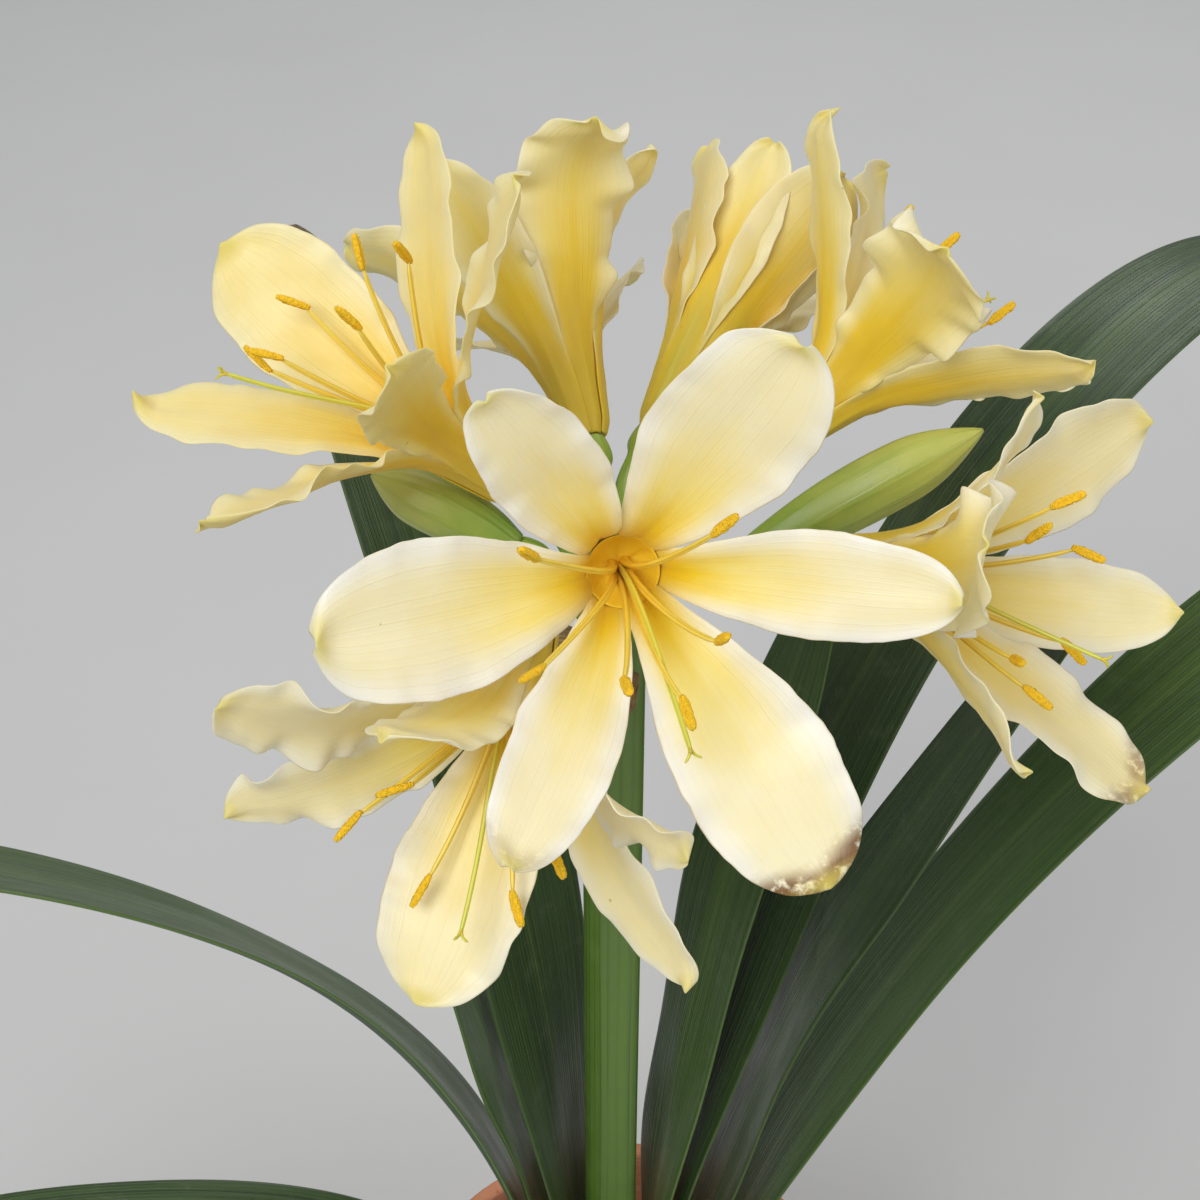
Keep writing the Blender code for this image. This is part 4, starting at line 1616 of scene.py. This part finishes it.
@dataclass
class Bud(Stem):
    """A closed bud of three lapping outer tepals."""

    length: float = 0.058
    width: float = 0.0125
    bow: float = 0.0008

    def build(self, name: str) -> None:
        """Models and dresses the bud and its pedicel.

        Args:
            name: The bud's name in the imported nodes.
        """
        frame = self.frame()
        rows = 34
        path = [
            frame @ Vector((self.bow * math.sin(math.pi * i / rows), 0, self.length * i / rows))
            for i in range(rows + 1)
        ]

        def radius(turn: float, t: float) -> float:
            """Gives the bud's radius, with a lap, a ridge and a groove for each of the three tepals.

            Args:
                turn: Radians round the bud.
                t: The share of the way along.

            Returns:
                Metres.
            """
            phase = 0.5 * t / 0.68 if t < 0.68 else 0.5 + 0.5 * (t - 0.68) / 0.32
            swell = math.sin(math.pi * phase) ** 0.9
            reach = 0.0030 * (1 - t) + (self.width / 2 - 0.0010) * swell + 0.0004
            around = (turn / (2 * math.pi) * 3) % 1
            lap = 0.045 * (smooth(around / 0.9) - smooth((around - 0.93) / 0.07)) * smooth(t / 0.2)
            ridge = 0.05 * bell(around - 0.5, 0.11) * smooth(t / 0.15) * (1 - 0.5 * t)
            groove = 0.05 * bell(around - 0.96, 0.035) * smooth(t / 0.1)
            return reach * (1 + lap + ridge - groove)

        piece = sweep(f"bud_tepals_{name}", path, radius, 60)
        finish_piece(piece, Slot.STALK, [BUD.material()], ["bud_" + name])
        stem = self.build_pedicel("stem_bud_" + name)
        finish_piece(stem, Slot.STALK, [PEDICEL.material()], ["pedicel_bud_" + name])


class Reach(Enum):
    """Where a strap starts: in the crown's fan, or under the umbel."""

    FAN = CROWN_TOP + 0.0008
    UMBEL = BRACT_Z


@dataclass
class Strap:
    """A strap leaf or a papery bract, in metres and degrees.

    It leaves its base at `tilt` from the vertical and ends at `tip_tilt`. `bend` sets how late it arches,
    `dry_tip` browns its end and `sway` scales the waves of its margins.
    """

    base: tuple[float, float]
    azimuth: float
    length: float
    tilt: float
    tip_tilt: float
    bend: float = 1.5
    width: float = 0.034
    twist: float = 0.0
    reach: Reach = Reach.FAN
    finish: LeafFinish = LEAF_DARK
    dry_tip: float = 0.0
    sway: float = 1.0

    sheath: float = 0.018
    across_faces: int = 12

    def path(self, s: float) -> tuple[Vector, Vector, Vector]:
        """Follows the midrib.

        Args:
            s: Metres along it. Below 0 it goes straight on down into the crown.

        Returns:
            The place, the way across and the way up from the upper face.
        """
        out = radial(math.radians(self.azimuth))
        place = Vector((*self.base, self.reach.value))
        fanned = self.reach is Reach.FAN
        tilt = math.radians(self.tilt)
        ahead = out * math.sin(tilt) + UP * math.cos(tilt)
        steps = 24
        if s < 0:
            place = place + ahead * s
        else:
            for i in range(steps):
                share = s * (i + 0.5) / steps / self.length
                tilt = math.radians(self.tilt + (self.tip_tilt - self.tilt) * share**self.bend)
                ahead = out * math.sin(tilt) + UP * math.cos(tilt)
                place = place + ahead * s / steps
        blend = smooth(s / 0.24) if fanned else 1
        inward = Vector((-1 if out.x > 0 else 1, 0, 0)) * (1 - blend) - out * blend
        across = UP.cross(inward).normalized()
        face = ahead.cross(across).normalized()
        if fanned:
            face.negate()
        twist = math.radians(self.twist) * smooth(2 * s / self.length)
        return (
            place,
            across * math.cos(twist) + face * math.sin(twist),
            face * math.cos(twist) - across * math.sin(twist),
        )

    def half_width(self, t: float) -> float:
        """Gives half the strap's width.

        Args:
            t: The share of its length.

        Returns:
            Metres.
        """
        tip = (t - 0.55) / 0.45
        shape = 1 if tip < 0 else math.sqrt(max(0.006, 1 - tip**2.6))
        return self.width / 2 * (0.86 + 0.14 * smooth(t / 0.3)) * shape

    def build(self, name: str, seed: float, materials: Sequence[bpy.types.Material]) -> bpy.types.Object:
        """Models the strap with its channel, its keel, its soft waves and its sheathing foot.

        Args:
            name: The piece's name.
            seed: A number that sets its own waves.
            materials: The material of the upper face and that of the lower one.

        Returns:
            The finished mesh.
        """
        fanned = self.reach is Reach.FAN
        foot = self.sheath if fanned else 0.0
        rows_along = LEAF_ROWS if fanned else PAPER_ROWS
        rows: dict[float, tuple[Vector, Vector, Vector]] = {}

        def place(v: float, t: float) -> Vector:
            """Gives a point of the plain strap with its channel, its waves and its clasping foot.

            Args:
                v: The place across, from -1 to 1.
                t: The share of the rows, which lie closer towards the tip.

            Returns:
                The point.
            """
            along = 1 - (1 - t) ** 1.25
            s = along * (self.length + foot) - foot
            share = max(0.0, s / self.length)
            if t not in rows:
                rows[t] = self.path(s)
            middle, across, face = rows[t]
            half = self.half_width(share)
            half *= 1 + 0.03 * waver(share * 5, 2.0 if v > 0 else 0.0, seed)
            # The foot clasps its neighbour, and the channel flattens towards the tip
            clasp = 1 + 1.2 * (1 - smooth((s + foot) / 0.05))
            channel = 0.16 * (1 - 0.5 * share) * clasp
            rise = half * channel * (0.72 * v * v + 0.28 * abs(v))
            ripple = 0.0011 if fanned else 0.0006
            phase = 5.2 * share * 2 * math.pi / 2 + seed + (1.4 if v > 0 else 0)
            rise += ripple * self.sway * abs(v) * math.sin(phase)
            rise += 0.0010 * waver(v, share * 6, seed) * smooth(share * 5)
            return middle + across * v * half + face * rise

        def brown(v: float, t: float) -> float:
            """Gives how dry the strap is at a place."""
            return self.dry_tip * smooth((t - 0.955 + 0.02 * waver(v * 4, seed, 0)) / 0.03)

        piece = shaped_sheet(name, self.across_faces, rows_along, place)
        places = grid_places(self.across_faces, rows_along)
        paint(piece, ((0, brown(v, t), 0, 1) for v, t in places))
        if piece.data.polygons[0].normal.dot(self.path(0.01)[2]) < 0:
            piece.data.flip_normals()
        body = [max(0.0, 1 - abs(v) ** 1.5) * (1 - 0.5 * t) for v, t in places]
        give_wall(piece, LEAF_WALL if fanned else PAPER_WALL, 0.35, body, materials)
        return piece


@dataclass
class Umbel:
    """The head of the plant: seven open flowers, two buds and the bracts under them."""

    flowers: dict[str, Flower]
    buds: dict[str, Bud]
    bracts: dict[str, Strap]

    @staticmethod
    def anther_model() -> bpy.types.Object:
        """Models one anther: two lobes with a groove between them, rough with pollen.

        Returns:
            The model, which stands along Z with its middle at the origin.
        """
        rows, bow = 16, 0.00018
        path = [
            Vector((bow * math.cos(math.pi * i / rows), 0, ANTHER_ROD_LENGTH * (i / rows - 0.5)))
            for i in range(rows + 1)
        ]

        def radius(turn: float, t: float) -> float:
            """Gives the anther's radius, with its blunt ends, its groove and its grains.

            Args:
                turn: Radians round it.
                t: The share of the way along.

            Returns:
                Metres.
            """
            end = math.sin(math.pi * (0.04 + 0.92 * t)) ** 0.30
            lobes = 1 + 0.22 * abs(math.sin(turn)) - 0.42 * bell(math.remainder(turn, math.pi), 0.30)
            grain = 1 + 0.30 * noise.noise(radial(turn, 3.6, t * 25))
            return ANTHER_ROD_RADIUS * end * lobes * grain

        return sweep("anther_model", path, radius, 18)

    def build(self, rng: random.Random) -> None:
        """Models and dresses every flower, bud and bract.

        Args:
            rng: The source of small differences.
        """
        anther = self.anther_model()
        for name, flower in self.flowers.items():
            flower.build(name, anther, rng)
        bpy.data.objects.remove(anther, do_unlink=True)
        for name, bud in self.buds.items():
            bud.build(name)
        paper = PAPER.material()
        for name, bract in self.bracts.items():
            piece = bract.build("bract_paper_" + name, rng.uniform(0, 6), (paper, paper))
            finish_piece(piece, Slot.BRACT, [], ["bract_" + name])


@dataclass
class Foliage:
    """The two rows of strap leaves, the flower stalk and the crown that they grow from.

    Each of the `old_sheaths` is its place along X, the way it faces and its length.
    """

    leaves: dict[str, Strap]
    stalk_half_x: float = 0.0058
    stalk_half_y: float = 0.0078
    receptacle_radius: float = 0.0092
    crown_half: tuple[float, float] = (0.029, 0.020)
    crown_foot: float = 0.092
    crown_height: float = 0.0235
    old_sheaths: Sequence[tuple[float, float, float]] = (
        (-0.0335, 180, 0.026), (-0.0305, 180, 0.020), (0.0235, 0, 0.023),
    )

    def build_leaves(self, rng: random.Random) -> None:
        """Models and dresses the leaves.

        Args:
            rng: The source of small differences.
        """
        for name, leaf in self.leaves.items():
            materials = (leaf.finish.material(), LEAF_UNDER.material())
            piece = leaf.build("strap_" + name, rng.uniform(0, 6), materials)
            finish_piece(piece, Slot.LEAF, [], ["leaf_" + name])

    def build_stalk(self) -> None:
        """Models the flower stalk: flattened, with two faint edges, and wide where the pedicels leave it."""
        foot, top = CROWN_TOP - 0.012, UMBEL.z
        rows = 70
        path = [Vector((STALK_X, 0, foot + (top - foot) * i / rows)) for i in range(rows + 1)]

        def radius(turn: float, t: float) -> float:
            """Gives the stalk's radius.

            Args:
                turn: Radians round it.
                t: The share of the way up.

            Returns:
                Metres.
            """
            height = foot + (top - foot) * t
            swell = 1 + 0.1 * (1 - smooth((height - foot) / 0.12))
            x, y = self.stalk_half_x * swell, self.stalk_half_y * swell
            flat = oval_reach(turn, x, y)
            flat *= 1 + 0.07 * abs(math.sin(turn)) ** 10 + 0.012 * math.cos(9 * turn)
            flare = smooth((height - top + 0.012) / 0.009)
            reach = flat * (1 - flare) + self.receptacle_radius * flare
            return reach * (0.86 if t > 0.998 else 1)

        piece = sweep("scape", path, radius, 40)
        finish_piece(piece, Slot.STALK, [STALK.material()], ["flower_stalk"])

    def build_crown(self, rng: random.Random) -> None:
        """Models the short stem and the stubs of old leaf sheaths round it.

        Args:
            rng: The source of small differences.
        """
        rows = 16
        foot, height = self.crown_foot, self.crown_height
        path = [Vector((STALK_X, 0, foot + height * i / rows)) for i in range(rows + 1)]

        def radius(turn: float, t: float) -> float:
            """Gives the crown's radius at a turn in radians and share t of its height."""
            layers = 1 + 0.035 * math.sin(5 * turn + 9 * t) + 0.03 * math.cos(11 * turn)
            return oval_reach(turn, *self.crown_half) * layers * (1 - 0.30 * smooth((t - 0.55) / 0.45))

        piece = sweep("crown_stem", path, radius, 56)
        finish_piece(piece, Slot.STALK, [SHEATH.material()], ["crown"])
        paper = PAPER.material()
        stubs = []
        for i, (x, way, length) in enumerate(self.old_sheaths):
            stub = Strap((x, 0), way, length, 4, 16, bend=1.0, width=0.033, sway=1.5, sheath=0.014)
            stubs.append(stub.build(f"stub_{i}", rng.uniform(0, 6), (paper, paper)))
        finish_piece(joined("old_sheaths", stubs), Slot.STALK, [], ["crown"])

    def build(self, rng: random.Random) -> None:
        """Models and dresses the foliage.

        Args:
            rng: The source of small differences.
        """
        self.build_leaves(rng)
        self.build_stalk()
        self.build_crown(rng)


@dataclass
class Pot:
    """The terracotta pot with its rim band and drain holes, and the soil in it."""

    band_height: float = 0.024
    band_step: float = 0.004
    drain_radius: float = 0.005
    drain_ring: float = 0.028
    drains: int = 4
    steps: int = 120
    crown_rise: float = 0.004

    def build_clay(self) -> None:
        """Models the turned pot and cuts its drain holes."""
        rim, top, wall = POT_RIM_RADIUS, POT_HEIGHT, POT_WALL
        band_foot = top - self.band_height
        body_top = rim - self.band_step - 0.001
        profile = [
            (0, POT_FLOOR), (POT_FOOT_RADIUS - wall, POT_FLOOR), (rim - wall, top), (rim, top),
            (rim, band_foot), (body_top, band_foot - 0.0002), (POT_FOOT_RADIUS, 0),
            (POT_FOOT_RADIUS - 0.006, 0), (POT_FOOT_RADIUS - 0.008, 0.0012), (0, 0.0012),
        ]
        pot = turned("clay_pot", rounded(profile, 0.0016), self.steps)
        foot_edge, foot_height = 0.03, 0.002
        for vert in pot.data.vertices:
            if math.hypot(vert.co.x, vert.co.y) > foot_edge and vert.co.z > foot_height:
                turn = math.atan2(vert.co.y, vert.co.x)
                wobble = 0.00022 * math.sin(3 * turn + 0.7) + 0.00016 * noise.noise(vert.co * 90)
                vert.co.x += wobble * math.cos(turn)
                vert.co.y += wobble * math.sin(turn)
        for i in range(self.drains):
            place = radial(2 * math.pi * (i + 0.5) / self.drains, self.drain_ring, 0.003)
            sizes = {"vertices": 32, "radius": self.drain_radius, "depth": 0.03}
            drill = primitive("drill", bpy.ops.mesh.primitive_cylinder_add, location=place, **sizes)
            apply_modifier(pot, "BOOLEAN", operation="DIFFERENCE", object=drill, solver="EXACT")
            bpy.data.objects.remove(drill, do_unlink=True)
        make_active(pot)
        bpy.ops.object.shade_smooth_by_angle(angle=math.radians(40))
        finish_piece(pot, Slot.CLAY, [CLAY.material()], ["pot"])

    def soil_height(self, x: float, y: float) -> float:
        """Gives the height of the soil's rough top.

        Args:
            x: The place along X.
            y: The place along Y.

        Returns:
            Metres above the pot's base.
        """
        share = min(1.0, math.hypot(x, y) / 0.062)
        rough = 0.0016 * noise.noise(Vector((x, y, 0)) * 95) + 0.0008 * noise.noise(Vector((x, y, 4)) * 330)
        rough += 0.0022 * smooth((share - 0.8) / 0.2) * noise.noise(Vector((x, y, 9)) * 40)
        return SOIL_TOP + self.crown_rise * (1 - share**2) + rough - 0.0012

    def build_soil(self, rng: random.Random) -> None:
        """Models the soil and the bark and grit that lie on it.

        Args:
            rng: The source of the crumbs' places.
        """
        rings, foot = 34, POT_FLOOR + 0.0006
        profile = [(SOIL_EDGE * i / rings, SOIL_TOP) for i in range(rings + 1)]
        profile += [(0.0435, POT_FLOOR + 0.006), (0.0415, foot), (0, foot)]
        soil = turned("soil_bed", profile, 110)
        for vert in soil.data.vertices:
            if vert.co.z > SOIL_TOP - 0.001:
                vert.co.z = self.soil_height(vert.co.x, vert.co.y)
        finish_piece(soil, Slot.SOIL, [SOIL.material()], ["soil"])
        for name, finish, count, sizes, flat in (
            ("bark_crumbs", BARK, 330, (0.0012, 0.0042), 0.45),
            ("grit_grains", GRIT, 70, (0.0008, 0.0019), 0.8),
        ):
            model = primitive("crumb", bpy.ops.mesh.primitive_ico_sphere_add, subdivisions=1, radius=1)
            for vert in model.data.vertices:
                vert.co *= 1 + 0.35 * noise.noise(vert.co * 1.9)
            bits = []
            for i in range(count):
                reach = SOIL_EDGE * math.sqrt(rng.uniform(0.10, 0.93))
                turn = rng.uniform(0, 2 * math.pi)
                x, y = reach * math.cos(turn), reach * math.sin(turn)
                size = rng.uniform(*sizes) / 2
                spin = Matrix.Rotation(rng.uniform(0, 6.28), 4, "Z")
                spin = spin @ Matrix.Rotation(rng.uniform(-0.6, 0.6), 4, "X")
                shape = Matrix.Diagonal((size * rng.uniform(1, 1.9), size, size * flat, 1))
                height = self.soil_height(x, y) + size * flat * 0.4
                bits.append(copied(model, f"bit_{i}", Matrix.Translation((x, y, height)) @ spin @ shape))
            bpy.data.objects.remove(model, do_unlink=True)
            finish_piece(joined(name, bits), Slot.SOIL, [finish.material()], ["soil"])

    def build(self, rng: random.Random) -> None:
        """Models and dresses the pot and its soil.

        Args:
            rng: The source of small differences.
        """
        self.build_clay()
        self.build_soil(rng)


def clivia_umbel() -> Umbel:
    """Sets each flower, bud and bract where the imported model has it.

    The first two values of a tepal are its spread and its curl.

    Returns:
        The umbel.
    """
    # The flowers that face away from the light take more of the deeper yellow that is painted as shade
    flowers = {
        "front": Flower(
            base=(-1, -25, 30), azimuth=-82, elevation=28, roll=31, root=(-75, 0.25),
            stamens=[(72, 27), (122, 28), (140, 16), (206, 22), (251, 15), (309, 20)], style=(184, 31),
            shade_yellow=0.0,
            tepals=[
                outer(48, 10, lean=4, length=0.075), inner(62, 10, ruffle=0.5),
                outer(48, 10, lean=-8, stain=0.3),
                inner(70, 5, lean=-4, length=0.083, ruffle=0.7, stain=1.0),
                outer(56, 10, lean=-7, ruffle=0.3),
                inner(54, 10, lean=-6, length=0.077, ruffle=0.5),
            ],
        ),
        "lower_left": Flower(
            base=(-15, -26, 16), azimuth=-106, elevation=-12, roll=0, root=(-125, 1),
            tepals=[
                outer(34, 30, lean=14, length=0.070), inner(46, 50, length=0.074, ruffle=1.8),
                outer(65, 20, lean=-11, ruffle=1.7), inner(28, 10, lean=-10, ruffle=1.0),
                outer(52, 20, lean=-8, length=0.081),
                inner(38, 60, lean=-38, length=0.070, ruffle=2.0),
            ],
        ),
        "right": Flower(
            base=(38, -2, 10), azimuth=-29, elevation=13, roll=285, root=(-35, 1),
            tepals=[
                inner(48, 10, ruffle=0.8), outer(36, 50, lean=10, length=0.070),
                inner(38, 60, ruffle=2.4), outer(36, 20, lean=8, length=0.074),
                inner(33, 20, lean=11, length=0.085, stain=0.7),
                outer(40, 10, lean=10, length=0.083, ruffle=0.5),
            ],
        ),
        "upper_right": Flower(
            base=(33, 31, 13), azimuth=32, elevation=30, roll=335, root=(40, 1), shade_yellow=0.5,
            tepals=[
                outer(52, 10, length=0.076, hook=2.0), inner(52, 70, ruffle=2.4),
                outer(41, 20, lean=-6, length=0.074), inner(32, 20, lean=-5, ruffle=1.5),
                outer(28, 30), inner(31, 20, lean=-6, ruffle=1.8),
            ],
        ),
        "back_right": Flower(
            base=(9, 47, 9), azimuth=60, elevation=24, roll=0, root=(68, 1),
            stamens=HALF_OPEN_STAMENS, style=(180, 6), green=0.5, shade_yellow=0.5,
            tepals=[
                outer(13, 6, length=0.073), inner(12, 10, length=0.075, ruffle=0.8),
                outer(15, 10, length=0.073), inner(24, 10, length=0.074, ruffle=0.9),
                outer(24, 10, length=0.073), inner(15, 10, length=0.074, ruffle=0.9),
            ],
        ),
        "back_left": Flower(
            base=(-5, 40, 11), azimuth=108, elevation=25, roll=320, root=(116, 1), shade_yellow=0.4,
            tepals=[
                outer(44, 20, lean=8, length=0.071),
                inner(35, 100, lean=-14, length=0.078, ruffle=2.2),
                outer(22, 50, lean=-18, length=0.075), inner(40, 30),
                outer(45, 30), inner(32, 30),
            ],
        ),
        "left": Flower(
            base=(-21, 7, 21), azimuth=186, elevation=48, roll=52, root=(160, 1), shade_yellow=0.7,
            stamens=[(15, 28), (45, 21), (113, 26), (170, 20), (200, 12), (310, 17)], style=(180, 24),
            tepals=[
                outer(53, 10), inner(36, 10, ruffle=0.8), outer(36, 10, hook=1.6),
                inner(48, 10, lean=4, length=0.076, ruffle=1.3), outer(46, 20, lean=10, ruffle=0.9),
                inner(56, 10, ruffle=1.4),
            ],
        ),
    }
    buds = {
        "right": Bud(base=(28, 8, 2), azimuth=15, elevation=25, root=(5, 1), length=0.058, width=0.0125),
        "left": Bud(base=(-21, 3, 9), azimuth=166, elevation=24, root=(200, 1), length=0.034, width=0.0115),
    }
    bracts = {
        "front": Strap((-0.003, -0.0086), -100, 0.012, 95, 150, width=0.006, reach=Reach.UMBEL),
        "left": Strap((-0.0124, 0.002), 170, 0.034, 85, 160, width=0.009, reach=Reach.UMBEL),
        "back": Strap((-0.004, 0.0086), 80, 0.028, 80, 150, width=0.009, reach=Reach.UMBEL),
    }
    return Umbel(flowers, buds, bracts)


def clivia_foliage() -> Foliage:
    """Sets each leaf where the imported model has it.

    Returns:
        The foliage.
    """
    # The leaves that the light falls on take the lighter leaf finish, which is painted light
    leaves = {
        "left_low": Strap((-0.0274, 0), 184, 0.33, 16, 150, bend=0.8),
        "left_arching": Strap((-0.0234, 0), 189, 0.47, 3, 140, bend=1.6, twist=-30, finish=LEAF_PAINTED_LIT),
        "left_short": Strap((-0.0194, 0), 168, 0.22, 4, 17, bend=1.2, width=0.026, finish=LEAF_PAINTED_LIT),
        "left_tall": Strap((-0.0152, 0), 122, 0.375, 3, 56, bend=1.8, dry_tip=0.8),
        "right_upright": Strap((0.0042, 0), 38, 0.30, 2, 22, bend=1.4, width=0.028, finish=LEAF_PAINTED_LIT),
        "right_tall": Strap((0.0082, 0), 45, 0.54, 3, 155, bend=1.85),
        "right_inner": Strap((0.0122, 0), 6, 0.32, 6, 30, bend=1.3, width=0.030),
        "right_long": Strap((0.0162, 0), 16, 0.50, 11, 82, bend=1.3, finish=LEAF_PAINTED_LIT),
        "right_low": Strap((0.0202, 0), -4, 0.30, 26, 150, bend=0.8),
    }
    return Foliage(leaves)


@dataclass
class Studio:
    """A pale floor, soft lights and the camera of the photograph."""

    camera_place: tuple[float, float, float] = (-0.0090, -0.3308, 0.7028)
    camera_down: float = 40.0
    image_pixels: float = 1200.0
    focal_pixels: float = 2013.0
    sensor: float = 36.0
    floor_size: float = 9.0
    light_aim: float = 0.35

    def build_floor(self) -> None:
        """Adds a wide pale floor with a faint grain."""
        floor = primitive("studio_floor", bpy.ops.mesh.primitive_plane_add, size=self.floor_size)
        material = bpy.data.materials.new("floor_pale")
        material.use_nodes = True
        tree = MaterialTree(material.node_tree)
        shader = material.node_tree.nodes["Principled BSDF"]
        grain = tree.noise(tree.own_place(), 6.0, 4)
        tree.feed(shader.inputs["Base Color"], tree.mix(grain, (0.56, 0.56, 0.55), (0.60, 0.60, 0.59)))
        shader.inputs["Roughness"].default_value = 0.9
        floor.data.materials.append(material)

    def build_light(self, name: str, place: tuple[float, float, float], watts: float, size: float) -> None:
        """Adds a square area light that faces the flowers.

        Args:
            name: The light's name.
            place: Where it stands.
            watts: Its power.
            size: Its side in metres.
        """
        data = bpy.data.lights.new(name, "AREA")
        data.energy = watts
        data.size = size
        light = bpy.data.objects.new(name, data)
        light.location = place
        light.rotation_euler = (UP * self.light_aim - Vector(place)).to_track_quat("-Z", "Y").to_euler()
        bpy.context.scene.collection.objects.link(light)

    def build_camera(self) -> None:
        """Adds the camera of the photograph."""
        data = bpy.data.cameras.new("photo_camera")
        data.sensor_width = self.sensor
        data.lens = self.sensor * self.focal_pixels / self.image_pixels
        data.dof.use_dof = False
        camera = bpy.data.objects.new("photo_camera", data)
        camera.location = self.camera_place
        camera.rotation_euler = (math.radians(90 - self.camera_down), 0, 0)
        bpy.context.scene.collection.objects.link(camera)
        bpy.context.scene.camera = camera

    def build(self) -> None:
        """Sets the whole stage."""
        self.build_camera()
        self.build_floor()
        self.build_light("key", (-0.7, -1.2, 1.9), 30, 1.1)
        self.build_light("fill", (1.3, -0.6, 1.2), 7, 1.2)
        self.build_light("back", (0.3, 1.4, 1.5), 9, 1.0)
        world = bpy.data.worlds.new("soft_room")
        world.use_nodes = True
        backdrop = world.node_tree.nodes["Background"]
        backdrop.inputs["Color"].default_value = (0.95, 0.97, 1.0, 1)
        backdrop.inputs["Strength"].default_value = 0.36
        bpy.context.scene.world = world
        bpy.context.scene.view_settings.view_transform = "Standard"


def main() -> None:
    """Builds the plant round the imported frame."""
    logging.basicConfig(level=logging.INFO, format="%(name)s: %(message)s")
    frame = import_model()
    LOG.info("packed nodes: %d", len(frame["nodes"]))
    rng = random.Random(11)
    Studio().build()
    clivia_umbel().build(rng)
    clivia_foliage().build(rng)
    Pot().build(rng)


if __name__ == "__main__":
    main()
